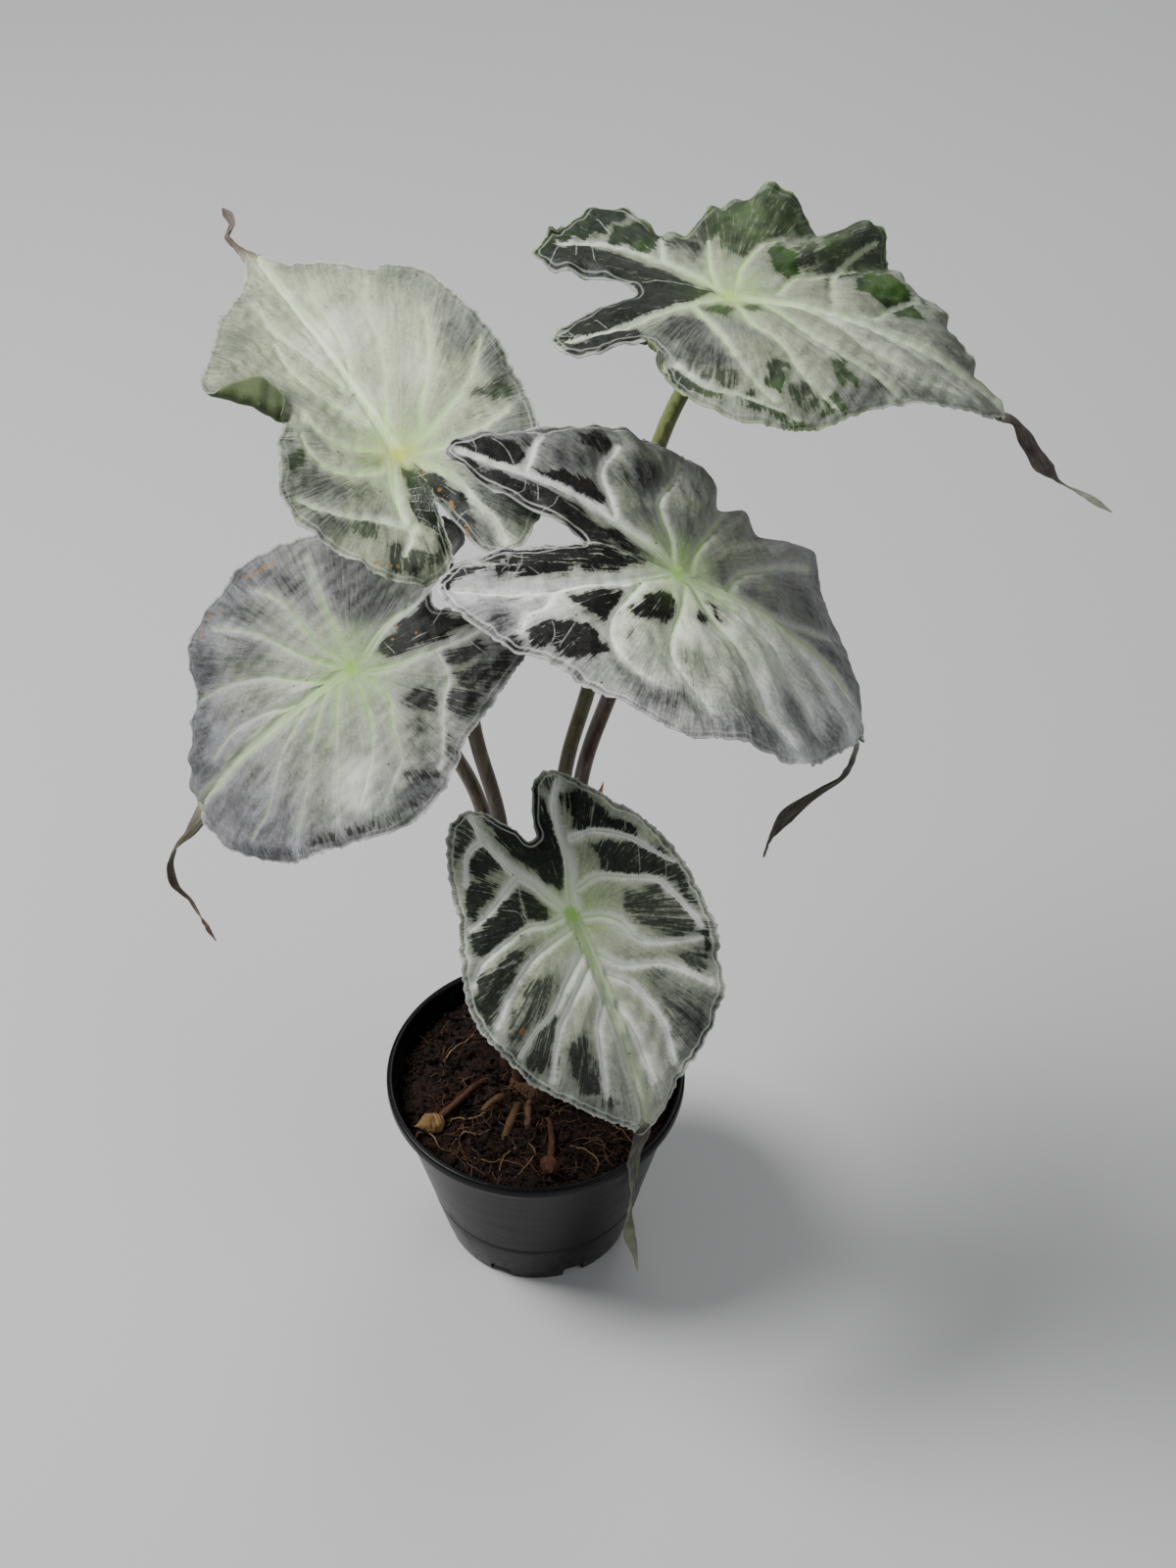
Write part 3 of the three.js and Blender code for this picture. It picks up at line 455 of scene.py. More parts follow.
mix, tree, shader = new_material("potting_mix")
spot = tree.place()
clod, lump = mottled(tree, spot, 160, 5, 0.65, 0.35, 0.68)
fleck, grit = mottled(tree, spot, 1100, 3, 0.6, 0.56, 0.7, 0, 0.7)
colour = tree.mix(clod, srgb(9, 5, 4), srgb(34, 20, 14))
colour = tree.mix(fleck, colour, srgb(70, 44, 29))
colour = tree.mix(mottled(tree, spot, 70, 2, 0.5, 0.58, 0.7, 0, 0.5)[0], colour, srgb(8, 5, 5))
tree.set(shader.inputs["Base Color"], colour)
tree.set(shader.inputs["Roughness"], tree.step(lump, 0.3, 0.7, 0.7, 0.95))
shader.inputs["Specular IOR Level"].default_value = 0.15
tree.set(shader.inputs["Normal"], tree.bump(tree.scaled(grit, 0.35, lump), 0.0016, 0.9))

angles = np.arange(SOIL_SIDES) * 2 * np.pi / SOIL_SIDES
bottom = FLOOR_THICKNESS + 0.3
rows = []
for share in np.linspace(0, 1, SOIL_RINGS + 1)[1:]:
    r = share * soil_radius(SOIL_LEVEL - 2)
    x, y = r * np.cos(angles), r * np.sin(angles)
    crumble = 0.9 * uneven(x, y, 7, 71) + 0.6 * uneven(x, y, 3.1, 72) + 0.35 * uneven(x, y, 1.5, 73)
    rows.append(np.column_stack([x, y, soil_top(x, y) + crumble * 0.75 - 0.9 * share ** 8]))
for z in (60, 45, 30, 15, FLOOR_THICKNESS + 1.4, bottom):
    r = soil_radius(z) - (1.2 if z == bottom else 0)
    rows.append(np.column_stack([r * np.cos(angles), r * np.sin(angles), np.full(SOIL_SIDES, z)]))
points = np.vstack([[(0, 0, soil_top(0, 0)), (0, 0, bottom)], *rows])
at = lambda r, k: 2 + r * SOIL_SIDES + k % SOIL_SIDES
last = len(rows) - 1
faces = [(0, at(0, k), at(0, k + 1)) for k in range(SOIL_SIDES)]
faces += [(at(r, k), at(r + 1, k), at(r + 1, k + 1), at(r, k + 1))
          for r in range(last) for k in range(SOIL_SIDES)]
faces += [(1, at(last, k + 1), at(last, k)) for k in range(SOIL_SIDES)]
add_piece("potting_mix_body", points, faces, [mix], "potting_mix", "soil")

# Each crumb starts as a ball of twenty triangles, whose edges are a little longer than its radius
ball = np.array([(a, b, 0) for a in (-1, 1) for b in (-1.618, 1.618)])
ball = np.vstack([np.roll(ball, k, axis=1) for k in range(3)]) / 1.902
ball_faces = [(a, b, c) for a in range(12) for b in range(a + 1, 12) for c in range(b + 1, 12)
              if max(np.linalg.norm(ball[i] - ball[j]) for i, j in ((a, b), (b, c), (a, c))) < 1.1]
ball_faces = [(a, b, c) if np.cross(ball[b] - ball[a], ball[c] - ball[a]) @ ball[a] > 0 else (a, c, b)
              for a, b, c in ball_faces]
parts = []
for _ in range(CRUMBS):
    r = CRUMB_REACH * np.sqrt(chance.random())
    a = chance.uniform(0, 2 * np.pi)
    size = chance.uniform(0.35, 1.1) * (1.6 if chance.random() < 0.12 else 1)
    x, y = r * np.cos(a), r * np.sin(a)
    lumpy = ball * chance.uniform(0.65, 1.25, (12, 1)) * chance.uniform(0.5, 1.2, 3) * size
    parts.append((lumpy + (x, y, soil_top(x, y) + 0.35 * size + 0.3), ball_faces, (0, 0, 0)))
points, faces, _ = join(parts)
add_piece("potting_mix_crumbs", points, faces, [mix], "potting_mix", "soil", smooth=False)

strand, tree, shader = new_material("coco_fibre")
spot = tree.place()
tint, _ = mottled(tree, spot, 90)
colour = tree.mix(tint, srgb(28, 17, 12), srgb(92, 66, 48))
tree.set(shader.inputs["Base Color"], colour)
tree.set(shader.inputs["Roughness"], mottled(tree, spot, 1500, 2, 0.5, 0.3, 0.7, 0.55, 0.85)[0])
shader.inputs["Specular IOR Level"].default_value = 0.2
parts = []
for _ in range(STRANDS):
    r = STRAND_REACH * np.sqrt(chance.random())
    a = chance.uniform(0, 2 * np.pi)
    heading = chance.uniform(0, 2 * np.pi)
    length = chance.uniform(4, 17)
    turns = heading + np.cumsum(chance.normal(0, 0.32, STRAND_STEPS))
    x = r * np.cos(a) + np.cumsum(np.cos(turns)) * length / STRAND_STEPS
    y = r * np.sin(a) + np.cumsum(np.sin(turns)) * length / STRAND_STEPS
    out = np.maximum(np.hypot(x, y) / (CRUMB_REACH - 0.5), 1)
    x, y = x / out, y / out
    rise = np.sin(np.linspace(0, np.pi, STRAND_STEPS)) * chance.uniform(0.2, 2.2)
    z = soil_top(x, y) + 0.45 + rise
    points, faces = tube(np.column_stack([x, y, z]), chance.uniform(0.07, 0.2), 5)
    parts.append((points, faces, (0, 0, 0)))
points, faces, _ = join(parts)
add_piece("coco_fibre_strands", points, faces, [strand], "potting_mix", "soil")


# Corm and anchor roots
# The woody parent corm sits just under the soil, ringed with old leaf scars. Six anchor roots as thick as
# a match leave its crown and dive into the mix, with finer pale roots between them.
def mark(piece, key, kind, values):
    """Keeps a value, direction or colour for each point of a piece, which its material reads."""
    layer = piece.data.attributes.new(key, kind, "POINT")
    field = {"FLOAT": "value", "FLOAT_VECTOR": "vector", "FLOAT_COLOR": "color"}[kind]
    layer.data.foreach_set(field, np.asarray(values).astype(np.float32).ravel())


def set_colours(piece, colours):
    mark(piece, "skin", "FLOAT_COLOR", np.column_stack([colours, np.ones(len(colours))]))


woody, tree, shader = new_material("woody_brown_skin")
spot = tree.place()
shadow, cloud = mottled(tree, spot, 120, 4, 0.6, 0.38, 0.66, 0, 0.75)
scale, fibre = mottled(tree, spot, 900, 4, 0.7, 0.5, 0.75, 0, 0.35)
colour = tree.attribute("skin", "Color")
colour = tree.mix(shadow, colour, tree.mix(0.65, colour, srgb(24, 13, 10)))
colour = tree.mix(scale, colour, srgb(150, 112, 72))
tree.set(shader.inputs["Base Color"], colour)
tree.set(shader.inputs["Roughness"], tree.step(fibre, 0.3, 0.7, 0.65, 0.9))
shader.inputs["Specular IOR Level"].default_value = 0.2
tree.set(shader.inputs["Normal"], tree.bump(tree.scaled(cloud, 0.8, fibre), 0.0006, 0.8))

CORM_LEVEL = 67
CORM_HALF_HEIGHT = 15.5
CORM_RADIUS = 16.2
axis = smooth_path([(0, 4, 51.7), (0, 4, CORM_LEVEL), (0, 4, 82.3)], 20)
height = (axis[:, 2] - CORM_LEVEL) / CORM_HALF_HEIGHT
leaf_scars = 1 + 0.03 * np.sin(axis[:, 2] * 2.6)
rings = CORM_RADIUS * np.sqrt(np.clip(1 - height ** 2, 0.0004, 1)) * leaf_scars
points, faces = tube(axis, rings, 40)
parts = [(points, faces, srgb(72, 50, 34))]
for path, radii in (
    ([(-6, -4, 74), (-8, -13, 79.5), (-11, -22, 79), (-14, -31, 75)], (2, 1.7, 1.5, 1.1)),
    ([(-9, -2, 74), (-15, -7, 79.6), (-20, -11, 78.6), (-25, -16, 75)], (1.9, 1.6, 1.4, 1)),
    ([(-2, -4, 74), (-3, -11, 79.3), (-3, -18, 79), (-4, -26, 75)], (1.8, 1.6, 1.3, 1)),
    ([(11, -2, 74), (17, -6, 79.4), (23, -9, 78.4), (28, -13, 75)], (1.8, 1.5, 1.3, 1)),
    ([(-2, 14, 74), (-5, 21, 79.2), (-9, 27, 78), (-12, 33, 75)], (1.8, 1.5, 1.2, 1)),
    ([(11, 10, 74), (17, 15, 79.2), (22, 21, 78), (27, 26, 75)], (1.8, 1.5, 1.2, 1)),
):
    line = smooth_path(path, 14)
    t = np.linspace(0, 1, len(line))
    knots = 1 + 0.09 * uneven(t * 40, t, 9, int(sum(path[0])))
    points, faces = tube(line, np.interp(t, np.linspace(0, 1, 4), radii) * knots, 14)
    parts.append((points, faces, srgb(84, 62, 43)))
points, faces, colours = join(parts)
corm = add_piece("parent_corm", points, faces, [woody], "corm_and_roots", "corm")
set_colours(corm, colours)

parts = []
for line, radius in (
    ([(-33, -29, 0), (-28, -24, 1.2), (-22, -25, 0.6), (-17, -21, 0)], 0.45),
    ([(-14, -42, 0), (-12, -36, 1.4), (-8, -32, 0.8), (-9, -27, 0)], 0.4),
    ([(-49, -29, 0), (-46, -24, 1.6), (-41, -26, 2), (-38, -31, 1), (-33, -33, 0)], 0.4),
    ([(31, -20, 0), (35, -24, 1.2), (38, -28, 0.8), (41, -31, 0)], 0.5),
    ([(-24, -36, 0), (-18, -39, 1.5), (-11, -38, 1.2), (-4, -41, 0)], 0.35),
    ([(-38, 12, 0), (-34, 19, 1.4), (-28, 24, 1), (-24, 31, 0)], 0.45),
    ([(14, -30, 0), (20, -33, 1.4), (25, -38, 1), (24, -44, 0)], 0.4),
    ([(33, 12, 0), (38, 17, 1.6), (36, 24, 1), (30, 29, 0)], 0.4),
    ([(-3, -28, 0), (0, -34, 1), (-3, -40, 0.8), (-8, -46, 0)], 0.4),
    ([(-20, -14, 0), (-26, -18, 1.6), (-33, -17, 1.2), (-36, -22, 0)], 0.45),
):
    line = smooth_path(line, 10)
    line[:, 2] += soil_top(line[:, 0], line[:, 1]) - 0.1
    points, faces = tube(line, np.linspace(radius, radius * 0.5, len(line)), 8)
    parts.append((points, faces, srgb(118, 93, 68)))
points, faces, colours = join(parts)
roots = add_piece("fine_pale_roots", points, faces, [woody], "corm_and_roots", "corm")
set_colours(roots, colours)


# Offset corms on their runners
# Two young corms the size of a hazelnut, each at the end of a reddish runner from the parent. Their skins
# are papery and ringed, and come to a point.
for name, centre_place, lean, length, radius, runner, thickness, hue in (
    ("left_offset", (-42, -21, 80.6), (-0.75, -0.45, 0.35), 13, 4.3,
     [(-40, -19, 80.4), (-33, -12, 81.2), (-25, -2, 80.6), (-19.5, 4, 78.2)], 1.15, (128, 100, 64)),
    ("front_offset", (6, -42, 80.4), (0.1, -0.75, 0.4), 11, 3.9,
     [(6, -39, 80.6), (6.6, -31, 81.4), (6, -23, 80.6), (5, -16.5, 78.2)], 1.1, (66, 36, 26)),
):
    lean = unit(np.array(lean))
    t = np.linspace(-0.5, 0.56, 40)
    line = np.array(centre_place) + t[:, None] * length * lean
    body = np.interp(t, (-0.5, -0.42, -0.22, 0, 0.2, 0.36, 0.5, 0.56),
                     (0.12, 0.62, 0.95, 1, 0.8, 0.42, 0.1, 0.03))
    body = np.convolve(np.pad(body, 2, "edge"), np.ones(5) / 5, "valid")
    rings = 1 + 0.035 * np.sin(t * 44)
    angles = np.arange(28) * 2 * np.pi / 28
    shape = 1 + 0.07 * uneven(t[:, None] * 12, angles[None] * 3, 5, 7)
    points, faces = tube(line, body * radius * rings, 28, shape=shape)
    line = smooth_path(runner, 14)
    knots = 1 + 0.08 * uneven(np.linspace(0, 60, len(line)), 0, 12, 3)
    runner_points, runner_faces = tube(line, np.linspace(1.25, 1, len(line)) * thickness * knots, 12)
    runner_part = (runner_points, runner_faces, srgb(68, 40, 28))
    points, faces, colours = join([(points, faces, srgb(*hue)), runner_part])
    offset = add_piece(f"{name}_corm", points, faces, [woody], "offset_corm", name)
    set_colours(offset, colours)


# Upper left leaf
# The first of five leaves. A fleshy round stalk carries a thin leathery shield, whose silver is a layer
# of air under its skin, open over dark windows between the veins. The underside is plain olive, one
# margin is rolled over, and the tip runs out into a dry twisted ribbon.
def leaf_frame(leaf):
    """Directions of a blade at its stalk: across it, along it to the tip, and up out of it."""
    heading, slope, roll = np.radians(leaf["aim"])
    d = np.array([np.cos(slope) * np.cos(heading), np.cos(slope) * np.sin(heading), np.sin(slope)])
    level = np.array([0, 0, 1]) - d * d[2]
    level /= np.linalg.norm(level)
    n = level * np.cos(roll) + np.cross(d, level) * np.sin(roll)
    return np.cross(d, n), d, n


def steady_turn(s, start, rate):
    """A step s along a curve that starts at one angle and turns steadily: run, rise and end angle."""
    rate = np.where(np.abs(rate) < 1e-8, 1e-8, rate)
    end = start + rate * s
    return (np.sin(end) - np.sin(start)) / rate, (np.cos(start) - np.cos(end)) / rate, end


def bent(leaf, x, y, z):
    """Where points of the flat blade, z above its face, lie on the bent blade, as in the CAD source."""
    reach = np.hypot(x, y)
    bearing = np.degrees(np.arctan2(x, y))
    lift = z + 0 * x
    for centre, spread, start, height in leaf["ripples"]:
        away = (bearing - centre + 540) % 360 - 180
        rise = np.clip((reach - start) / (50 - start), 0, 2) ** 1.5
        lift = lift + height * np.exp(-(away / spread) ** 2) * rise
    right = x >= 0
    fold, bend = (np.radians(np.where(right, *leaf[key])) for key in ("fold", "bend"))
    run, rise, tilt = steady_turn(np.abs(x), fold, bend / 50)
    px = np.where(right, 1, -1) * (run - lift * np.sin(tilt))
    pz = rise + lift * np.cos(tilt)
    length = leaf["arch"][0]
    near, far, back = np.radians(leaf["arch"][1:]) / 100
    a0, b0, t0 = steady_turn(np.minimum(y, 0), 0, back)
    a1, b1, t1 = steady_turn(np.clip(y, 0, length), 0, near)
    a2, b2, t2 = steady_turn(np.maximum(y - length, 0), t1, far)
    droop = np.where(y < 0, t0, t2)
    py = a0 + a1 + a2 + pz * np.sin(droop)
    pz = pz * np.cos(droop) - b0 - b1 - b2
    twist = np.radians(leaf["twist"]) * y / 100
    w, d, n = leaf_frame(leaf)
    across, along, up = (v[..., None] for v in (px * np.cos(twist), py, pz + px * np.sin(twist)))
    return np.array(leaf["crown"]) + across * w + along * d + up * n


STALK_TOP_RADIUS = 2.9
STALK_FOOT_RADIUS = 4.3
STALK_FOOT_LEVEL = 73
SHEATH_LEVEL = 170
STALK_SIDES = 28
STALK_GAP = 0.9

stalk_skin, tree, shader = new_material("stalk_skin")
spot = tree.place()
long_way = tree.vmath("MULTIPLY", spot, (1, 1, 0.09))
pale_line, stripe = mottled(tree, long_way, 900, 3, 0.6, 0.5, 0.7, 0, 0.3)
dash_place = tree.vmath("MULTIPLY", spot, (1, 1, 0.25))
brown_dash, dash = mottled(tree, dash_place, 520, 3, 0.55, 0.53, 0.66, 0, 0.75)
shadow, cloud = mottled(tree, spot, 38, 3, 0.6, 0.35, 0.7, 0, 0.5)
colour = tree.attribute("skin", "Color")
colour = tree.mix(shadow, colour, tree.mix(0.55, colour, srgb(58, 34, 25)))
colour = tree.mix(brown_dash, colour, tree.mix(0.75, colour, srgb(32, 21, 16)))
colour = tree.mix(pale_line, colour, srgb(138, 136, 94))
tree.set(shader.inputs["Base Color"], colour)
tree.set(shader.inputs["Roughness"], tree.step(cloud, 0.3, 0.7, 0.38, 0.55))
tree.set(shader.inputs["Normal"], tree.bump(tree.scaled(dash, 0.4, stripe), 0.0003, 0.6))


def blend_colours(stops, t):
    """Shader colours along t for given levels at evenly spaced stops."""
    places = np.linspace(0, 1, len(stops))
    return np.stack([np.interp(t, places, [srgb(*c)[k] for c in stops]) for k in range(3)], 1)


def add_stalk(name, leaf):
    """Makes a leaf stalk: a fleshy round stem, ridged at its sheath, with a flare under its blade."""
    crown = np.array(leaf["crown"], float)
    up = leaf_frame(leaf)[2]
    neck = unit(unit(crown - leaf["stalk"][-1]) + up)
    foot = (*leaf["stalk"][0], STALK_FOOT_LEVEL)
    top = (crown - 12.5 * neck, crown - 3.5 * neck, crown - STALK_GAP * up)
    path = smooth_path([foot, *leaf["stalk"][1:], *top], 16)
    sheath = np.clip((SHEATH_LEVEL - path[:, 2]) / (SHEATH_LEVEL - STALK_FOOT_LEVEL), 0, 1)
    radii = STALK_TOP_RADIUS + (STALK_FOOT_RADIUS - STALK_TOP_RADIUS) * sheath ** 1.4
    left_to_go = np.linalg.norm(path - crown, axis=1)
    radii = radii + 1.5 * np.exp(-(left_to_go / 2.6) ** 2) - 0.1
    angles = np.arange(STALK_SIDES) * 2 * np.pi / STALK_SIDES
    sheath_edges = np.maximum(np.cos(angles - 0.9), 0) ** 24 + np.maximum(np.cos(angles - 2.0), 0) ** 24
    ribbing = 0.012 * np.cos(7 * angles)
    groove = 0.04 * np.exp(-((angles - 4) / 0.5) ** 2)
    shape = 1 + 0.1 * sheath[:, None] ** 0.5 * sheath_edges + ribbing - groove
    points, faces = tube(path, radii, STALK_SIDES, shape=shape)
    too_high = np.maximum((points - crown) @ up + STALK_GAP, 0)
    points -= too_high[:, None] * up
    stalk = add_piece(f"leaf_stalk_{name}", points, faces, [stalk_skin], "leaf_stalk", f"stalk_{name}")
    colours = blend_colours(leaf["stalk_colours"], np.linspace(0, 1, len(path)))
    set_colours(stalk, np.repeat(colours, STALK_SIDES, axis=0))


def nearest_line(lines, x, y):
    """The nearest of some tapering lines: its side's signed distance, distance, half width and run."""
    side, half, run = np.zeros((3, *x.shape))
    best = np.full(x.shape, 99.0)
    for k, (points, first, last) in enumerate(lines):
        path = smooth_path(points, 3)
        lengths = np.linalg.norm(np.diff(path, axis=0), axis=1)
        start = 0
        for (ax, ay), (bx, by), length in zip(path, path[1:], lengths):
            dx, dy = (bx - ax) / length, (by - ay) / length
            t = np.clip((x - ax) * dx + (y - ay) * dy, 0, length)
            ex, ey = x - ax - t * dx, y - ay - t * dy
            distance = np.hypot(ex, ey)
            closer = distance < best
            best = np.where(closer, distance, best)
            side = np.where(closer, np.where(dx * ey > dy * ex, distance, -distance), side)
            half = np.where(closer, first + (last - first) * (start + t) / lengths.sum(), half)
            run = np.where(closer, start + t + 37 * k, run)
            start += length
    return side, best, half, run


# Upper skin. Each point of a blade carries how near it lies to a vein, the margin and a window, in mm,
# and this material lays silver over dark green from that, with streaks and hairs that run outward.
leaf_top, tree, shader = new_material("leaf_upper_skin")
flat = tree.attribute("flat", "Vector")
x, y, seed = tree.parts(flat)
near, half, side, run = (tree.attribute(key) for key in ("vein_near", "vein_half", "vein_side", "vein_run"))
inset, edge_run, contrast = (tree.attribute(key) for key in ("margin_in", "margin_run", "edge_tone"))
inside, tone, green = (tree.attribute(key) for key in ("window_in", "window_tone", "window_green"))
pale_rib, warm_hub, lilac = tree.parts(tree.attribute("rib_tint", "Vector"))
level = tree.vector(x, y, 0)
reach = tree.vmath("LENGTH", level)
outward = tree.vmath("NORMALIZE", level)


def radial(turns, pace, detail):
    """Noise in streaks that run out from the hub, with more turns for finer streaks."""
    place = tree.vmath("MULTIPLY", outward, (turns, turns, 0))
    place = tree.vmath("ADD", place, tree.vector(seed, seed, tree.times(reach, pace)))
    return tree.noise(place, 1, detail, 0.6)


streak = radial(36, 0.09, 3)
fine = radial(110, 0.13, 2)
weave, felt = mottled(tree, flat, 0.85, 4, 0.65, 0.35, 0.7)
blotch, patch = mottled(tree, flat, 0.055, 3, 0.55)
hair = tree.noise(tree.vector(tree.times(run, 1.2), tree.times(near, 0.25), seed), 1, 3, 0.65)
ragged = tree.minus(hair, 0.5)
strands = tree.scaled(streak, 1.1, tree.scaled(fine, 0.9, -1.0))
strands = tree.scaled(felt, 0.5, strands)
strand = tree.scaled(strands, 1.6, 0.1)

# Dark windows, with a frayed haze round them, cut back along the veins
cover = tree.times(tree.step(inside, -2.2, 1.5), tree.scaled(green, 0.15, tone))
dark = tree.step(tree.minus(strand, cover), 0.14, -0.26)
dark = tree.times(dark, tree.scaled(tone, 0.6, 0.4))
haze = tree.times(tree.step(inside, -3.4, 2.4), tree.step(strand, 1.1, -0.1, 0.5, 1))
haze = tree.times(haze, tree.math("MULTIPLY", tone, 1.15, clamp=True))
dark = tree.larger(dark, haze)
carve_edge = tree.scaled(ragged, 3.6, tree.scaled(half, 1.0, 0.3))
carve = tree.step(near, carve_edge, tree.times(half, 0.4))
carve = tree.times(carve, tree.step(reach, 4, 12, 0, 1))
dark = tree.times(dark, tree.minus(1, carve))

# Margin: a pale line that wanders along it, a dark zone outside the line, and combs of short dashes
wander = tree.noise(tree.vector(tree.times(edge_run, 0.08), seed, 0), 1, 2)
line_place = tree.scaled(wander, 2.8, 0.8)
edge_line = tree.step(tree.apart(inset, line_place), 0.5, 0.1)
edge_line = tree.times(edge_line, tree.scaled(contrast, 0.5, 0.02))
edge_zone = tree.step(inset, line_place, tree.minus(line_place, 0.6))
edge_zone = tree.times(edge_zone, tree.step(strands, 0.5, 0.05, 0.15, 0.62))
dark = tree.larger(dark, tree.times(edge_zone, contrast))
dash = tree.noise(tree.vector(tree.times(edge_run, 1.5), tree.times(inset, 0.16), seed), 1, 1)
dark = tree.larger(dark, tree.times(tree.step(dash, 0.52, 0.6), tree.attribute("comb")))

# Silver: warm near the hub and lilac far out, greyed partly by thin felt and partly by painted shade,
# brighter in places partly as painted light, and whiter beside the veins
mottle = tree.scaled(felt, 0.22, tree.times(patch, 0.32))
mottle = tree.scaled(strands, 0.2, mottle)
mottle = tree.step(tree.minus(mottle, tree.step(near, 1.5, 9, 0, 0.1)), 0.06, 0.52)
light_felt = tree.mix(lilac, srgb(218, 228, 184), srgb(224, 228, 210))
inner = tree.mix(mottle, srgb(130, 138, 116), light_felt)
outer = tree.mix(mottle, srgb(102, 98, 108), srgb(206, 206, 212))
far_out = tree.step(tree.scaled(patch, 40, reach), 45, 90)
silver = tree.mix(tree.times(far_out, lilac), inner, outer)
silver_tone = tree.attribute("silver_tone")
silver = tree.mix(1, silver, tree.vector(silver_tone, silver_tone, silver_tone), "MULTIPLY")
# Painted shade: the silver greys toward the margin, where the blade curves away from the light, less where
# the margin lines are strong
painted_edge_shade = tree.times(tree.step(inset, 17, 2, 0, 0.3), tree.minus(1, contrast))
shade = tree.plus(tree.attribute("shade"), painted_edge_shade)
# The shade places grey the silver, partly as thin felt and partly as painted shade; below zero they whiten
# it, partly as painted light
grey = tree.times(tree.step(shade, 0, 0.8), tree.step(strand, 1.1, -0.1, 0.6, 1))
grey = tree.times(grey, tree.step(near, 0.6, 4, 0.35, 1))
grey_felt_and_shade = tree.mix(lilac, srgb(58, 64, 50), srgb(54, 52, 58))
grey_felt_and_shade = tree.mix(mottle, grey_felt_and_shade, srgb(112, 113, 114))
silver = tree.mix(grey, silver, grey_felt_and_shade)
silver = tree.mix(tree.step(shade, 0, -1), silver, srgb(234, 237, 224))
halo_edge = tree.scaled(ragged, 4.2, tree.scaled(half, 1.4, 0.9))
halo = tree.step(near, halo_edge, tree.times(half, 0.2))
halo_colour = tree.mix(lilac, srgb(236, 239, 231), srgb(234, 228, 236))
silver = tree.mix(tree.times(halo, tree.scaled(contrast, 0.85, 0.05)), silver, halo_colour)

# Deep green where the windows are open, ruddy on some leaves
ruddy = tree.times(lilac, pale_rib)
deep_low = tree.mix(ruddy, srgb(5, 9, 6), srgb(13, 9, 10))
deep_high = tree.mix(ruddy, srgb(26, 33, 24), srgb(38, 31, 32))
deep = tree.mix(weave, deep_low, deep_high)
deep = tree.mix(green, deep, tree.mix(blotch, srgb(14, 32, 8), srgb(48, 76, 22)))
colour = tree.mix(dark, silver, deep)

# Green cores of the veins, partly painted shade on one side of their grooves, pale threads across the
# windows, and the lines along the margin
# Painted shade: on the wider veins the darker green core line sits to one side, like the shadow in the groove
core_shade_side = tree.times(tree.times(half, 0.36), tree.step(half, 1.75, 2.0))
shown = tree.noise(tree.vector(tree.times(run, 0.1), seed, 3), 1, 1)
shown = tree.times(tree.step(near, 1.9, 1.3), tree.step(shown, 0.4, 0.56, 0.3, 0.8))
core_and_groove_shade = tree.step(tree.apart(side, core_shade_side), tree.scaled(pale_rib, 0.35, 0.55), 0.1)
core_and_groove_shade = tree.times(core_and_groove_shade, tree.scaled(contrast, -0.35, 0.9))
core_and_shade_colour = tree.mix(contrast, srgb(88, 106, 66), srgb(140, 156, 112))
core_and_shade_colour = tree.mix(pale_rib, core_and_shade_colour, srgb(154, 180, 120))
colour = tree.mix(tree.times(core_and_groove_shade, shown), colour, core_and_shade_colour)
thread = tree.step(tree.math("ABSOLUTE", tree.attribute("thread_side")), 0.3, 0.08)
thread = tree.times(thread, tree.step(tree.attribute("thread_near"), 1.6, 0.8))
thread = tree.times(thread, tree.step(felt, 0.35, 0.6, 0.25, 0.6))
colour = tree.mix(thread, colour, srgb(168, 172, 162))
colour = tree.mix(edge_line, colour, srgb(206, 208, 202))
rim_colour = tree.mix(green, srgb(186, 188, 182), srgb(136, 164, 60))
rim_share = tree.times(tree.step(inset, 1.0, 0.45), tree.scaled(contrast, 0.2, 0.4))
colour = tree.mix(rim_share, colour, rim_colour)

# Midrib, with a darker green line along the crease on each side of it: partly the rib's green edge, partly
# painted shade
off_mid = tree.math("ABSOLUTE", x)
mid = tree.times(tree.step(off_mid, 4.2, 0.3), tree.step(y, -3, 3))
mid = tree.times(mid, tree.step(y, 125, 20, 0.25, 0.85))
mid = tree.times(mid, tree.step(fine, 0.3, 0.6, 0.7, 1))
colour = tree.mix(mid, colour, tree.mix(pale_rib, srgb(126, 146, 94), srgb(212, 222, 192)))
crease_edge_and_shade = tree.step(tree.apart(off_mid, tree.step(y, 0, 110, 2.5, 1.1)), 1.2, 0)
crease_edge_and_shade = tree.times(crease_edge_and_shade, tree.times(tree.step(y, 0, 4), tree.step(y, 110, 50, 0.1, 0.36)))
colour = tree.mix(crease_edge_and_shade, colour, srgb(112, 134, 82))

# Green hub, and green rays out along the veins
from_hub = tree.scaled(felt, 4, reach)
ray = tree.times(tree.step(near, 2, 0.3), tree.step(from_hub, 42, 6, 0, 0.5))
hub = tree.larger(ray, tree.step(from_hub, 24, 3, 0, 0.4))
hub = tree.larger(hub, tree.step(from_hub, 8, 3, 0, 0.9))
hub = tree.times(hub, tree.scaled(dark, -0.8, 1))
warm = tree.times(warm_hub, tree.step(from_hub, 15, 4))
sap = tree.mix(pale_rib, srgb(126, 174, 66), srgb(154, 206, 98))
colour = tree.mix(hub, colour, tree.mix(warm, sap, srgb(190, 206, 70)))

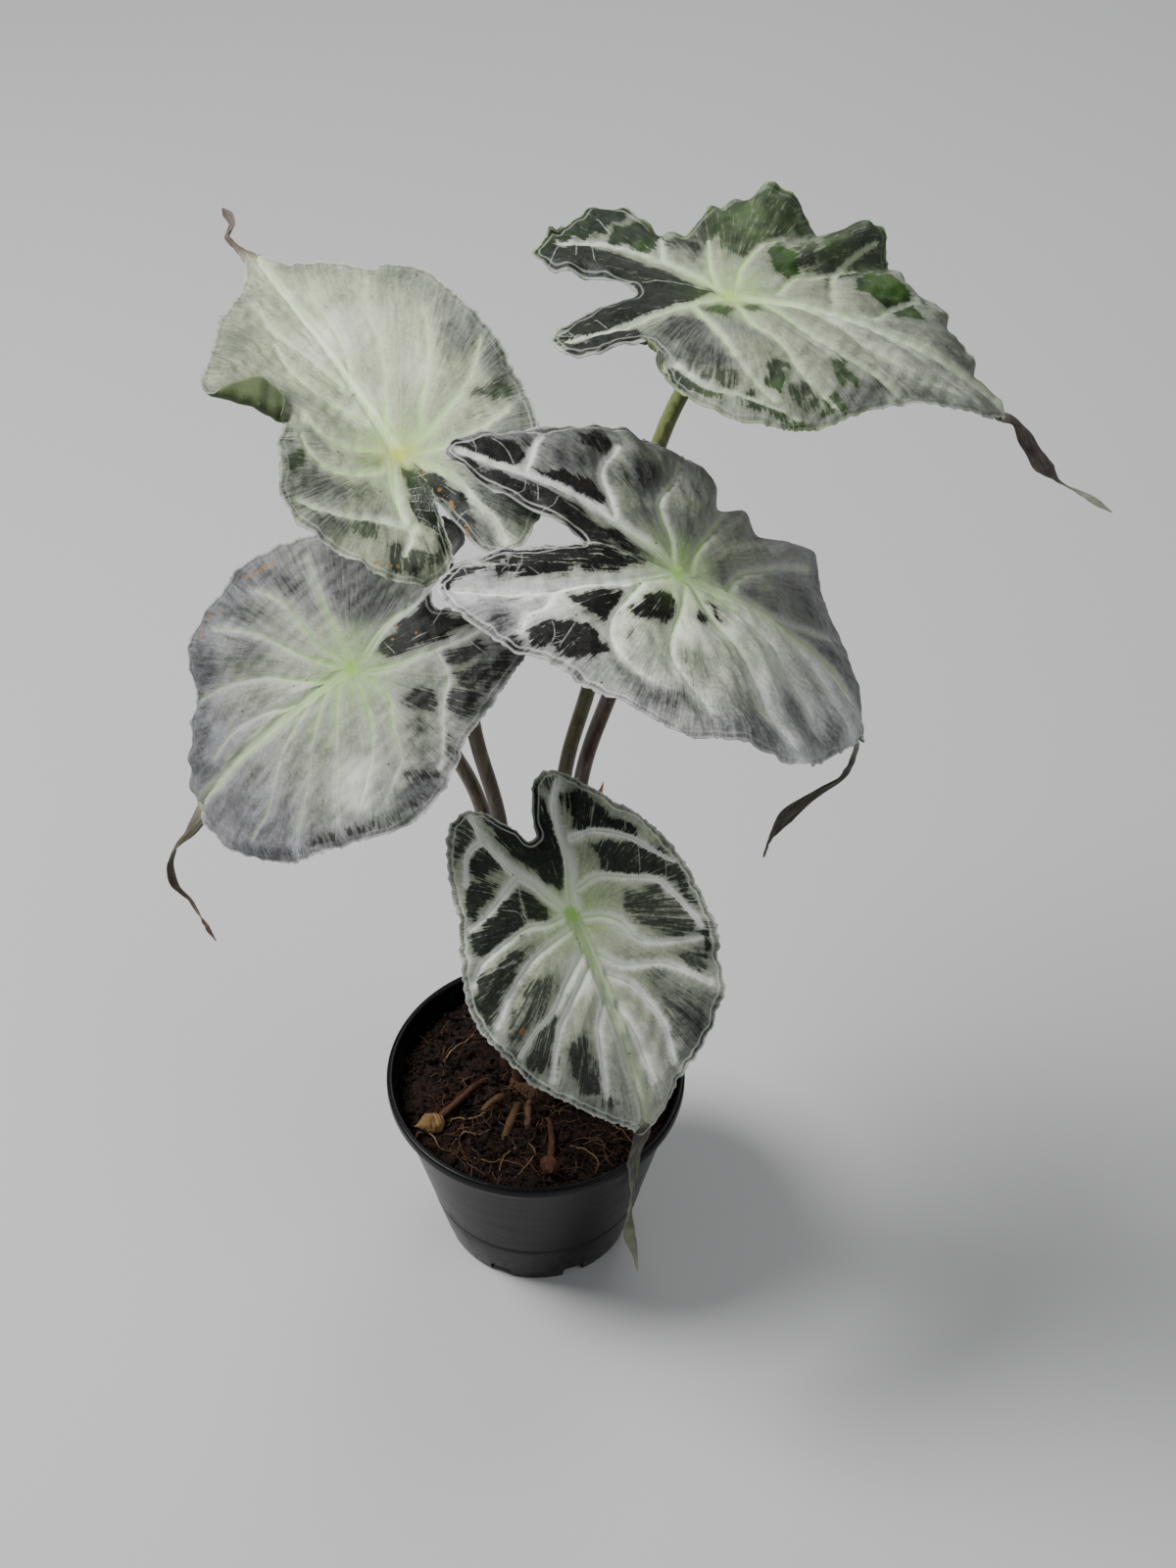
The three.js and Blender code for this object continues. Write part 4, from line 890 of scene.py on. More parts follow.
# Specks, brown or rust red
speck_x, speck_y, hue = tree.parts(tree.attribute("speck", "Vector"))
speck = tree.vmath("LENGTH", tree.vector(speck_x, speck_y, 0))
speck = tree.scaled(tree.minus(felt, 0.5), 1.8, speck)
speck = tree.times(tree.step(speck, 0.95, 0.55, 0, 0.75), tree.step(tree.attribute("speck_near"), 4, 3))
colour = tree.mix(speck, colour, tree.mix(hue, srgb(52, 28, 22), srgb(146, 96, 34)))

tree.set(shader.inputs["Base Color"], colour)
tree.set(shader.inputs["Roughness"], tree.step(felt, 0.3, 0.7, 0.44, 0.6))
shader.inputs["Specular IOR Level"].default_value = 0.22
relief = tree.scaled(strands, 0.5, tree.times(felt, 0.7))
tree.set(shader.inputs["Normal"], tree.bump(relief, 0.0004, 0.7))

# Underside: plain olive green with paler raised ribs
leaf_under, tree, shader = new_material("leaf_underside")
flat = tree.attribute("flat", "Vector")
cloud, _ = mottled(tree, flat, 0.06, 4, 0.6)
dull, grain = mottled(tree, flat, 1.3, 3, 0.6, 0.3, 0.7, 0.5, 0.65)
colour = tree.mix(cloud, srgb(46, 60, 27), srgb(72, 87, 43))
colour = tree.mix(tree.times(grain, 0.4), colour, srgb(94, 106, 62))
rib = tree.step(tree.attribute("vein_near"), tree.attribute("vein_half"), 0.3)
colour = tree.mix(tree.times(rib, 0.7), colour, srgb(112, 126, 76))
colour = tree.mix(tree.step(tree.attribute("margin_in"), 1.2, 0.3, 0, 0.6), colour, srgb(118, 130, 88))
tree.set(shader.inputs["Base Color"], colour)
tree.set(shader.inputs["Roughness"], dull)
tree.set(shader.inputs["Normal"], tree.bump(grain, 0.0003, 0.6))

SPOKES = 400
RINGS = 68
RING_CROWDING = 1.15
CUFF_STEPS = 26
BLADE_CENTRE_THICKNESS = 0.6
BLADE_EDGE_THICKNESS = 0.3
LAYOUT_HALF = 68
LAYOUT_LOW = -90
LAYOUT_LENGTH = 216
CUFF_CORNER = (34, 95)
CUFF_RUN = 30


def margin(leaf):
    """The outline as points, closer where it swings fast about the hub, with directions straight out."""
    fine = smooth_path(leaf["outline"], 30, closed=True)
    here = fine - leaf["hub"]
    ahead = np.roll(here, -1, axis=0)
    swing = np.abs(here[:, 0] * ahead[:, 1] - here[:, 1] * ahead[:, 0]) / np.linalg.norm(here, axis=1)
    share = np.cumsum(0.35 * np.linalg.norm(ahead - here, axis=1) + swing)
    share = np.append(0, share)
    fine = np.vstack([fine, fine[:1]])
    picks = np.arange(SPOKES) * share[-1] / SPOKES
    edge = np.stack([np.interp(picks, share, fine[:, k]) for k in (0, 1)], 1)
    along = np.roll(edge, -1, axis=0) - np.roll(edge, 1, axis=0)
    out = np.stack([-along[:, 1], along[:, 0]], 1) / np.linalg.norm(along, axis=1)[:, None]
    nicks = 0.3 * uneven(edge[:, 0], edge[:, 1], 5, leaf["seed"])
    nicks = nicks + 0.25 * uneven(edge[:, 0], edge[:, 1], 2.2, 5)
    return edge + out * nicks[:, None], out


def add_cuff(sheet, cuff, edge, out):
    """Carries a sheet on past part of its margin: up and over on a tight curl, and straight from there."""
    start, end = (int(np.argmin(np.linalg.norm(edge - cuff[key], axis=1))) for key in ("from", "to"))
    first, last = sorted((start, end))
    widths = cuff["width"] if start < end else cuff["width"][::-1]
    inner = np.arange(first + 1, last)
    share = (inner - first) / (last - first)
    width = np.interp(share, np.linspace(0, 1, len(widths) + 2), [0, *widths, 0])
    width = width * (1 + 0.05 * uneven(inner, inner, 14, 3))
    steps = np.arange(1, CUFF_STEPS + 1)[:, None]
    s = width * steps / CUFF_STEPS
    radius = cuff["radius"]
    curl_end = np.radians(cuff["turn"])
    angle = np.minimum(s / radius, curl_end)
    rest = np.maximum(s - radius * curl_end, 0)
    sideways = radius * np.sin(angle) + rest * np.cos(angle)
    level = radius * (1 - np.cos(angle)) + rest * np.sin(angle)
    base = len(sheet.flat)
    rim = sheet.rim

    def at(c, i):
        """The point in row c of the cuff on spoke i. All rows meet at both ends of the cuff."""
        if c == 0 or i in (first, last):
            return rim[i]
        return base + (c - 1) * len(inner) + i - first - 1

    for i in range(first, last):
        for c in range(CUFF_STEPS):
            corners = (at(c, i), at(c, i + 1), at(c + 1, i + 1), at(c + 1, i))
            sheet.cuff_faces.append(tuple(dict.fromkeys(corners)))
    across, up = CUFF_CORNER
    rim_share = np.linspace(0, 1, last - first + 1)
    sheet.corner[rim[first:last + 1]] = np.column_stack([across + CUFF_RUN * rim_share, up + 0 * rim_share])
    corner = np.stack([across + CUFF_RUN * share + 0 * s, up + s], -1)
    sheet.corner = np.vstack([sheet.corner, corner.reshape(-1, 2)])
    sheet.flat = np.vstack([sheet.flat, (edge[inner] + out[inner] * sideways[..., None]).reshape(-1, 2)])
    sheet.slope = np.vstack([sheet.slope, (out[inner] * angle[..., None]).reshape(-1, 2)])
    sheet.level = np.append(sheet.level, level)
    sheet.to_free_edge = (width * (1 - steps / CUFF_STEPS)).ravel()
    sheet.roots = np.tile(1 + (RINGS - 1) * SPOKES + inner, CUFF_STEPS)
    sheet.rim = rim[:first + 1] + [at(CUFF_STEPS, i) for i in range(first + 1, last)] + rim[last:]


def blade_sheet(leaf):
    """A blade as one flat sheet of rings and spokes about its hub, with its cuff if it has one."""
    edge, out = margin(leaf)
    hub = np.array(leaf["hub"], float)
    shares = 1 - (1 - np.linspace(0, 1, RINGS + 1)[1:]) ** RING_CROWDING
    flat = np.vstack([hub[None], *(hub + (edge - hub) * share for share in shares)])
    at = lambda r, s: 1 + (r - 1) * SPOKES + s % SPOKES
    faces = [(0, at(1, s), at(1, s + 1)) for s in range(SPOKES)]
    faces += [(at(r, s), at(r, s + 1), at(r + 1, s + 1), at(r + 1, s))
              for r in range(1, RINGS) for s in range(SPOKES)]
    sheet = SimpleNamespace(
        flat=flat, corner=flat.copy(), level=np.zeros(len(flat)), slope=np.zeros((len(flat), 2)), edge=edge,
        rim=[at(RINGS, s) for s in range(SPOKES)], faces=faces, cuff_faces=[], roots=[], to_free_edge=[])
    if "cuff" in leaf:
        add_cuff(sheet, leaf["cuff"], edge, out)
    return sheet


def how_far_inside(outline, x, y):
    """Distance from a closed outline, positive inside it."""
    away = np.full(x.shape, 99.0)
    inside = np.zeros(x.shape, bool)
    ring = np.array(outline, float)
    for (ax, ay), (bx, by) in zip(ring, np.roll(ring, -1, axis=0)):
        length = max((bx - ax) ** 2 + (by - ay) ** 2, 1e-9)
        t = np.clip(((x - ax) * (bx - ax) + (y - ay) * (by - ay)) / length, 0, 1)
        away = np.minimum(away, np.hypot(x - ax - t * (bx - ax), y - ay - t * (by - ay)))
        level = (ay > y) != (by > y)
        inside ^= level & (x < ax + (y - ay) * (bx - ax) / (by - ay if by != ay else 1))
    return np.where(inside, away, -away)


def window_marks(leaf, x, y):
    """How far inside a dark window each point is, and how dark and how green that window is."""
    window = np.full(x.shape, -9.0)
    depth, green = np.zeros((2, *x.shape))
    wavy_x = x + 0.9 * uneven(x, y, 10, leaf["seed"] + 1)
    wavy_y = y + 0.9 * uneven(x, y, 10, leaf["seed"] + 2)
    for tone, hue, outline in leaf["windows"]:
        inside = how_far_inside(outline, wavy_x, wavy_y)
        deeper = inside > window
        window = np.where(deeper, inside, window)
        depth = np.where(deeper, tone, depth)
        green = np.where(deeper, hue, green)
    return window, depth, green


def speck_marks(leaf, x, y, on_cuff):
    """Each point's place in the nearest speck, whose radius is 1 there, with its hue, and how near it is."""
    speck = np.full((len(x), 3), 50.0)
    speck_near = np.full(x.shape, 50.0)
    for cx, cy, radius, hue in leaf["specks"]:
        distance = np.hypot(x - cx, y - cy)
        closer = (distance < speck_near) & ~on_cuff
        speck_near = np.where(closer, distance, speck_near)
        here = np.column_stack([(x - cx) / radius, (y - cy) / radius, np.full(x.shape, float(hue))])
        speck = np.where(closer[:, None], here, speck)
    return speck, speck_near


def shade_marks(leaf, x, y):
    """Grey silver above zero, partly thin felt and partly painted shade; below zero, brighter, partly painted
    light.
    """
    shade = np.zeros(x.shape)
    drift_x = x + 4 * uneven(x, y, 34, leaf["seed"] + 8)
    drift_y = y + 4 * uneven(x, y, 34, leaf["seed"] + 9)
    for cx, cy, spread, strength in leaf["shades"]:
        shade += strength * np.exp(-((drift_x - cx) ** 2 + (drift_y - cy) ** 2) / (0.9 * spread) ** 2)
    return shade


def comb_marks(leaf, x, y, inset):
    """How strong the combs of short dashes beside the margin are."""
    comb = np.zeros(x.shape)
    for cx, cy, spread in leaf.get("combs", []):
        comb = np.maximum(comb, np.clip(1.6 - 1.6 * np.hypot(x - cx, y - cy) / spread, 0, 1))
    return comb * (np.clip((inset - 1) / 1.5, 0, 1) * np.clip((7.5 - inset) / 3, 0, 1) * 0.8)


def by_half(value, x):
    """One value for the whole blade, or one for its right half and one for its left."""
    return np.where(x > 0, *np.broadcast_to(value, 2))


def add_blade(name, leaf):
    """Makes a blade: like-split upper and lower skins, joined round the margin or round its rolled cuff."""
    sheet = blade_sheet(leaf)
    x, y = sheet.flat.T
    seed = leaf["seed"]
    on_cuff = np.arange(len(x)) > RINGS * SPOKES

    tip = leaf["outline"][0]
    veins = [([(0, 0), (tip[0] * 0.5, tip[1] * 0.5), tip], 3.4, 1.4)]
    veins += [(line, 2.7 * leaf["rib_width"], 1.3 * leaf["rib_width"]) for line in leaf["ribs"]]
    veins += [(line, 1.7, 0.8) for line in leaf["laterals"]]
    side, near, half, run = nearest_line(veins, x, y)
    thread_side, thread_near, *_ = nearest_line([(line, 1, 1) for line in leaf["threads"]], x, y)
    ring = np.vstack([sheet.edge, sheet.edge[:1]])
    _, inset, _, edge_run = nearest_line([(ring[::2], 1, 1)], x, y)
    inset[on_cuff] = sheet.to_free_edge

    # Quilting between the veins, slow waves, fine waves, and ruffles near the margin
    reach = np.hypot(x, y)
    quilt = np.clip(near / 8, 0, 1) ** 0.7 * np.clip((reach - 5) / 22, 0, 1) * np.clip(inset / 7, 0, 1)
    swell = leaf["quilt"] * quilt + 0.5 * uneven(x, y, 26, seed + 3) * np.clip(reach / 40, 0, 1)
    swell += 0.22 * uneven(x, y, 6, seed + 6) * np.clip(reach / 30, 0, 1)
    ruffle = by_half(leaf["ruffle"], x) * np.clip(1 - inset / 11, 0, 1) ** 2
    swell += ruffle * uneven(x, y, 13, seed + 4)
    swell[on_cuff] = swell[sheet.roots]

    # Veins sunk in the face, with a fine ridge along the widest, and raised ribs below
    trough = 0.3 * half * np.exp(-(near / (0.5 * half + 0.5)) ** 2) * np.clip(inset / 3, 0, 1)
    ridge = 0.16 * half * np.exp(-(near / (0.22 * half + 0.1)) ** 2) * (half > 1.9)
    groove = (trough - ridge) * np.clip(reach / 9, 0.15, 1)
    rib = (0.35 + 0.45 * half) * np.exp(-(near / (0.3 * half + 0.5)) ** 2) * np.clip(inset / 4, 0, 1)
    thick = BLADE_EDGE_THICKNESS + (BLADE_CENTRE_THICKNESS - BLADE_EDGE_THICKNESS) * np.clip(inset / 10, 0, 1)
    thick[on_cuff] = BLADE_EDGE_THICKNESS

    tilt = np.linalg.norm(sheet.slope, axis=1)
    outward = sheet.slope / np.maximum(tilt, 1e-9)[:, None]
    middle = sheet.level + swell - BLADE_CENTRE_THICKNESS / 2
    skins = []
    for height in (-groove, -thick - rib):
        height = height + thick / 2
        shift = -height * np.sin(tilt)
        skins.append(bent(leaf, x + outward[:, 0] * shift, y + outward[:, 1] * shift,
                          middle + height * np.cos(tilt)))
    count = len(x)
    upper = sheet.faces + sheet.cuff_faces
    lower = [tuple(v + count for v in reversed(face)) for face in upper]
    rim = sheet.rim
    closing = [(b, a, a + count, b + count) for a, b in zip(rim, rim[1:] + rim[:1])]
    faces = upper + lower + closing
    blade = add_piece(f"blade_{name}_skin", np.vstack(skins), faces,
                      [leaf_top, leaf_under], "leaf_silver", f"blade_{name}")
    mesh = blade.data
    mesh.polygons.foreach_set("material_index", np.repeat([0, 1, 0], [len(upper), len(lower), len(closing)]))
    mesh.set_sharp_from_angle(angle=math.radians(50))

    # Everything the two skin materials read, on both faces of the blade alike
    window, depth, green = window_marks(leaf, x, y)
    speck, speck_near = speck_marks(leaf, x, y, on_cuff)
    for key, values in (
        ("vein_side", side), ("vein_near", near), ("vein_half", half), ("vein_run", run),
        ("thread_side", thread_side), ("thread_near", thread_near), ("margin_in", inset),
        ("margin_run", edge_run), ("window_in", window), ("window_tone", depth), ("window_green", green),
        ("speck_near", speck_near), ("comb", comb_marks(leaf, x, y, inset)),
        ("shade", shade_marks(leaf, x, y)), ("silver_tone", by_half(leaf["tone"], x)),
        ("edge_tone", leaf["edge_tone"] * np.clip((leaf["edge_fade"] - y) / 40, 0.3, 1)),
    ):
        mark(blade, key, "FLOAT", np.tile(values, 2))
    place = np.column_stack([x, y, np.full(count, seed * 10.0)])
    tint = np.tile(leaf["rib_tint"], (count, 1))
    for key, values in (("flat", place), ("speck", speck), ("rib_tint", tint)):
        mark(blade, key, "FLOAT_VECTOR", np.tile(values, (2, 1)))

    # The baking layout: the upper skin on the left, the lower one on the right, the cuff in a free corner
    corners = np.concatenate(faces)
    cuff_face = np.arange(len(upper)) >= len(sheet.faces)
    cuff_face = np.concatenate([cuff_face, cuff_face, np.zeros(len(closing), bool)])
    cuff_corner = np.repeat(cuff_face, [len(face) for face in faces])
    spot = np.where(cuff_corner[:, None], sheet.corner[corners % count], sheet.flat[corners % count])
    across = (spot[:, 0] + LAYOUT_HALF) / (2 * LAYOUT_HALF)
    u = np.where(corners >= count, 0.64 + across * 0.35, 0.01 + across * 0.6)
    v = 0.02 + (spot[:, 1] - LAYOUT_LOW) / LAYOUT_LENGTH * 0.96
    layout = mesh.uv_layers.new(name="OFBake")
    layout.data.foreach_set("uv", np.column_stack([u, v]).astype(np.float32).ravel())


TAIL_THICKNESS = 0.45
TAIL_COLUMNS = 13
tail_skin, tree, shader = new_material("drip_tip_skin")
flat = tree.attribute("flat", "Vector")
spots, grain = mottled(tree, flat, 1.1, 4, 0.65, 0.55, 0.75, 0, 0.6)
lined, lines = mottled(tree, tree.vmath("MULTIPLY", flat, (2.6, 0.12, 1)), 1, 2, 0.5, 0.4, 0.65, 0, 0.4)
colour = tree.attribute("skin", "Color")
colour = tree.mix(lined, colour, tree.mix(0.5, colour, srgb(160, 156, 128)))
colour = tree.mix(spots, colour, srgb(42, 31, 24))
tree.set(shader.inputs["Base Color"], colour)
tree.set(shader.inputs["Roughness"], tree.step(grain, 0.3, 0.7, 0.45, 0.7))
tree.set(shader.inputs["Normal"], tree.bump(tree.plus(grain, lines), 0.0003, 0.7))


def add_tail(name, leaf):
    """Makes the drip tip: the blade's end drawn out into a dry channelled ribbon that turns about itself."""
    _, d, n = leaf_frame(leaf)
    seed = leaf["seed"]
    tip = np.array(leaf["outline"][0], float)
    roots = [bent(leaf, *(tip * share), -BLADE_CENTRE_THICKNESS / 2 - 0.25) for share in (0.92, 0.985)]
    path = smooth_path([*roots, *leaf["tail"]], 14)
    t = np.linspace(0, 1, len(path))
    spread = lambda values: np.interp(t, np.linspace(0, 1, len(values)), values)
    along, side = carried(path, np.cross(d, n))
    turn = np.radians(spread(leaf["tail_turn"]))[:, None]
    wide = side * np.cos(turn) + np.cross(along, side) * np.sin(turn)
    thin = np.cross(along, wide)
    half = spread(leaf["tail_width"]) / 2 * (1 + 0.12 * uneven(t * 90, t, 14, seed))
    half = half * np.clip((1.02 - t) / 0.1, 0.12, 1)
    points, flats = [], []
    for face in (1, -1):
        for u in np.linspace(-1, 1, TAIL_COLUMNS):
            sag = 0.32 * half * u ** 2 + 0.1 * half * uneven(t * 120, u * 3, 12, seed + 1)
            lift = sag + face * TAIL_THICKNESS / 2 * (1 - 0.6 * u ** 2)
            points.append(path + wide * (half * u)[:, None] + thin * lift[:, None])
            flats.append(np.column_stack([half * u, t * 90, np.full(len(t), seed * 7.0)]))
    count = len(t)
    order = [*range(TAIL_COLUMNS), *range(2 * TAIL_COLUMNS - 1, TAIL_COLUMNS - 1, -1)]
    at = lambda k, i: k * count + i
    faces = [(at(a, i), at(a, i + 1), at(b, i + 1), at(b, i))
             for a, b in zip(order, order[1:] + order[:1]) for i in range(count - 1)]
    faces += [[at(k, 0) for k in order], [at(k, count - 1) for k in reversed(order)]]
    tail = add_piece(f"drip_tip_{name}", np.vstack(points), faces, [tail_skin],
                     "leaf_silver", f"blade_{name}")
    dry = blend_colours(leaf["tail_colours"], t)
    fresh = np.clip(1 - t / 0.1, 0, 1)[:, None]
    lower, upper = (dry + (np.array(srgb(*hue)) - dry) * fresh for hue in ((72, 87, 43), (150, 152, 136)))
    set_colours(tail, np.vstack([np.tile(lower, (TAIL_COLUMNS, 1)), np.tile(upper, (TAIL_COLUMNS, 1))]))
    mark(tail, "flat", "FLOAT_VECTOR", np.vstack(flats))


def add_leaf(name, leaf):
    add_stalk(name, leaf)
    add_blade(name, leaf)
    add_tail(name, leaf)


# What a leaf's values mean. The blade is drawn flat, in mm from where its stalk joins it: x across, to the
# right of its midrib, and y along it. crown is that joint in the room, and aim is the blade's heading,
# slope and roll. fold and bend lift and curl its right and left half, and arch and twist bend it along its
# length. A ripple is a bearing, a spread, a start and a height. A window is how dark it is, how green it
# is, and its outline. A speck is a place, a size and a hue, a comb is a place and a spread, and a shade is
# a place, a spread, and how grey it is or, below zero, how bright. The grey is partly thin felt and partly
# painted shade, and the brightness is partly painted light.
upper_left = {
    "crown": (-42, 15, 392), "aim": (121, 16, -11), "fold": (10, 16), "bend": (9, 20),
    "arch": (60, 28, 5, -3), "twist": 0, "hub": (0, 30), "seed": 11, "quilt": 1.8, "ruffle": 0.8,
    "rib_width": 0.85, "rib_tint": (0.9, 1, 0.1), "tone": 0.62, "edge_tone": 0.4, "edge_fade": 15,
    "outline": [
        (0, 122), (7, 107), (17, 95), (27, 80), (37, 68), (44, 57), (46, 43), (48, 29), (49, 14), (47, 0),
        (46, -12), (43, -25), (38, -38), (29, -47), (18, -53), (10, -52), (5.5, -46), (4, -35), (2, -23),
        (-0.5, -35), (-4, -46), (-11, -51), (-20, -52), (-31, -47), (-39, -37), (-45, -27), (-50, -15),
        (-49, -5), (-43, 5), (-38, 15), (-31, 24), (-40, 31), (-54, 39), (-49, 48), (-42, 57), (-35, 69),
        (-27, 82), (-17, 93), (-8, 107),
    ],
    "ripples": [(60, 10, 25, 2), (95, 9, 25, -2), (-150, 12, 25, 1.5)],
    "cuff": {
        "from": (-54, 39), "to": (-31, 24), "width": (2, 7, 11, 14, 16, 16, 13), "radius": 2.2, "turn": 168,
    },
    "stalk": [(-5, 3), (-8, 9, 150), (-12, 11, 222), (-20, 11, 268), (-25, 12, 334)],
    "stalk_colours": [(62, 42, 30), (80, 64, 42), (88, 80, 50), (98, 104, 60)],
    "tail": [(-105, 128, 397), (-108, 133, 397), (-107, 138, 398.5), (-111, 146, 400)],
    "tail_width": (10, 7, 4, 4.5, 2.2, 4.4),
    "tail_turn": (0, 0, 60, 120, 170, 200),
    "tail_colours": [(150, 150, 134), (78, 62, 50), (66, 50, 42), (52, 38, 34)],
    "ribs": [
        [(2, -2), (7, -10), (12, -21), (13, -31), (15, -40), (14, -49)],
        [(-4, -2), (-8, -10), (-12, -23), (-13, -32), (-20, -40)],
    ],
    "laterals": [
        [(-8, -4), (-18, -3), (-26, 1), (-30, 8), (-29, 16)], [(-5, 4), (-14, 8), (-21, 14), (-24, 26)],
        [(-4, 16), (-10, 26), (-15, 37), (-17, 47), (-17, 60)], [(-4, 34), (-8, 51), (-13, 65), (-13, 83)],
        [(-11, -30), (-20, -23), (-31, -19), (-40, -14), (-45, -9)],
        [(3, 0), (11, 5), (15, 11), (24, 23), (35, 42)], [(-1, 7), (5, 19), (15, 40), (18, 55), (25, 72)],
        [(3, -1), (11, -5), (23, -8), (38, -8)], [(-2, 31), (4, 47), (6, 64), (7, 84)],
        [(4, 0), (20, 4), (34, 10), (44, 18)],
    ],
    "windows": [
        (1, 0.1, [(-2, -5), (1, -8), (3, -15), (2, -23), (0, -30), (-1, -38), (-5, -45), (-6, -43), (-4, -38),
            (-6, -33), (-8, -28), (-7, -22), (-4, -15), (-3, -10)]),
        (1, 0.1, [(2, -6), (5, -12), (8, -18), (10, -24), (11, -30), (11, -33), (6, -31), (4, -35), (4, -28),
            (4, -23), (3, -18), (2, -10)]),
        (1, 0, [(6, -32), (9, -34), (9, -39), (6, -43), (5, -44), (5, -40), (4, -35)]),
        (0.8, 0.1, [(-27, -43), (-24, -36), (-18, -35), (-15, -40), (-10, -42), (-6, -42), (-10, -47),
            (-16, -49), (-22, -48), (-26, -45)]),
        (0.5, 0, [(-12, -34), (-8, -35), (-8, -41), (-10, -42), (-12, -39)]),
        (0.5, 0, [(-34, 0), (-28, 0), (-24, -3), (-21, -7), (-16, -6), (-13, -8), (-17, -13), (-22, -15),
            (-26, -13), (-32, -12), (-37, -9), (-38, -4)]),
        (0.5, 0, [(-43, -16), (-38, -17), (-33, -19), (-30, -21), (-34, -25), (-39, -23), (-44, -21)]),
        (0.8, 0.4, [(-30, -21), (-25, -21), (-23, -27), (-27, -32), (-31, -30), (-33, -26)]),
        (0.85, 0.4, [(-40, 6), (-36, 8), (-32, 8), (-33, 5), (-39, 1), (-42, 2)]),
        (0.6, 0.2, [(-34, 21), (-30, 24), (-31, 20), (-32, 14), (-36, 14), (-36, 18)]),
        (0.4, 0, [(-29, 17), (-24, 17), (-23, 12), (-25, 8), (-28, 9), (-30, 12)]),
        (0.8, 0.3, [(31, 4), (36, 4), (41, 3), (43, -2), (42, -6), (39, -5), (35, -1)]),
        (0.45, 0.2, [(44, 23), (48, 21), (49, 12), (48, 6), (43, 8), (40, 12), (41, 18)]),
        (0.35, 0, [(36, 33), (42, 30), (41, 20), (36, 16), (31, 17), (31, 25)]),
        (0.6, 0, [(-48, -6), (-45, -8), (-44, -14), (-49, -15), (-50, -11)]),
        (0.35, 0.2, [(-15, 4), (-8, 4), (-6, 1), (-10, -3), (-14, 0)]),
        (0.5, 0.1, [(8, -9), (13, -16), (19, -29), (25, -40), (24, -47), (20, -52), (16, -45), (13, -34),
            (13, -26), (10, -15)]),
    ],
    "threads": [
        [(-6, -20), (0, -23)], [(-4, -18), (1, -20)], [(-6, -24), (-1, -26)], [(-7, -27), (-3, -32)],
        [(-7, -31), (-4, -35)], [(-4, -15), (1, -16)], [(3, -19), (1, -27), (-1, -37)],
        [(-1, -38), (5, -33), (9, -32), (11, -34)], [(0, -11), (4, -12)],
    ],
    "specks": [
        (4, -11, 0.7, 1), (5, -20, 0.8, 1), (6, -26, 0.9, 1), (6, -28, 0.6, 1), (6, -37, 0.8, 1),
        (5, -40, 0.7, 1), (-32, -41, 0.9, 1), (-31, -42.5, 0.6, 1), (-25, -44, 0.9, 1), (-14, -13, 0.5, 0),
        (-20, 6, 0.6, 0), (-17, 59, 0.6, 0), (40, 56, 0.5, 0), (29, 73, 0.6, 0),
    ],
    "shades": [
        (47, 12, 11, 0.8), (42, 26, 10, 0.57), (40, 43, 9, 0.4), (46, -3, 8, 0.69), (40, -13, 8, 0.92),
        (35, 60, 9, 0.34), (-29, 62, 7, 0.34), (-32, 8, 9, 0.69), (-28, -6, 10, 0.8), (-44, -6, 8, 0.8),
        (-41, -19, 9, 0.92), (-22, -26, 9, 0.8), (23, -29, 12, 1.03), (12, -41, 11, 1.03), (19, -12, 7, 0.69),
        (34, -22, 11, 1.15), (-27, 33, 7, 0.46), (-20, 18, 10, 0.29), (-17, 93, 7, 0.4), (22, 25, 11, -0.35),
        (0, 59, 13, -0.35), (15, 52, 11, -0.25), (-1, 23, 11, -0.3), (-1, 99, 8, -0.3),
    ],
}

add_leaf("upper_left", upper_left)


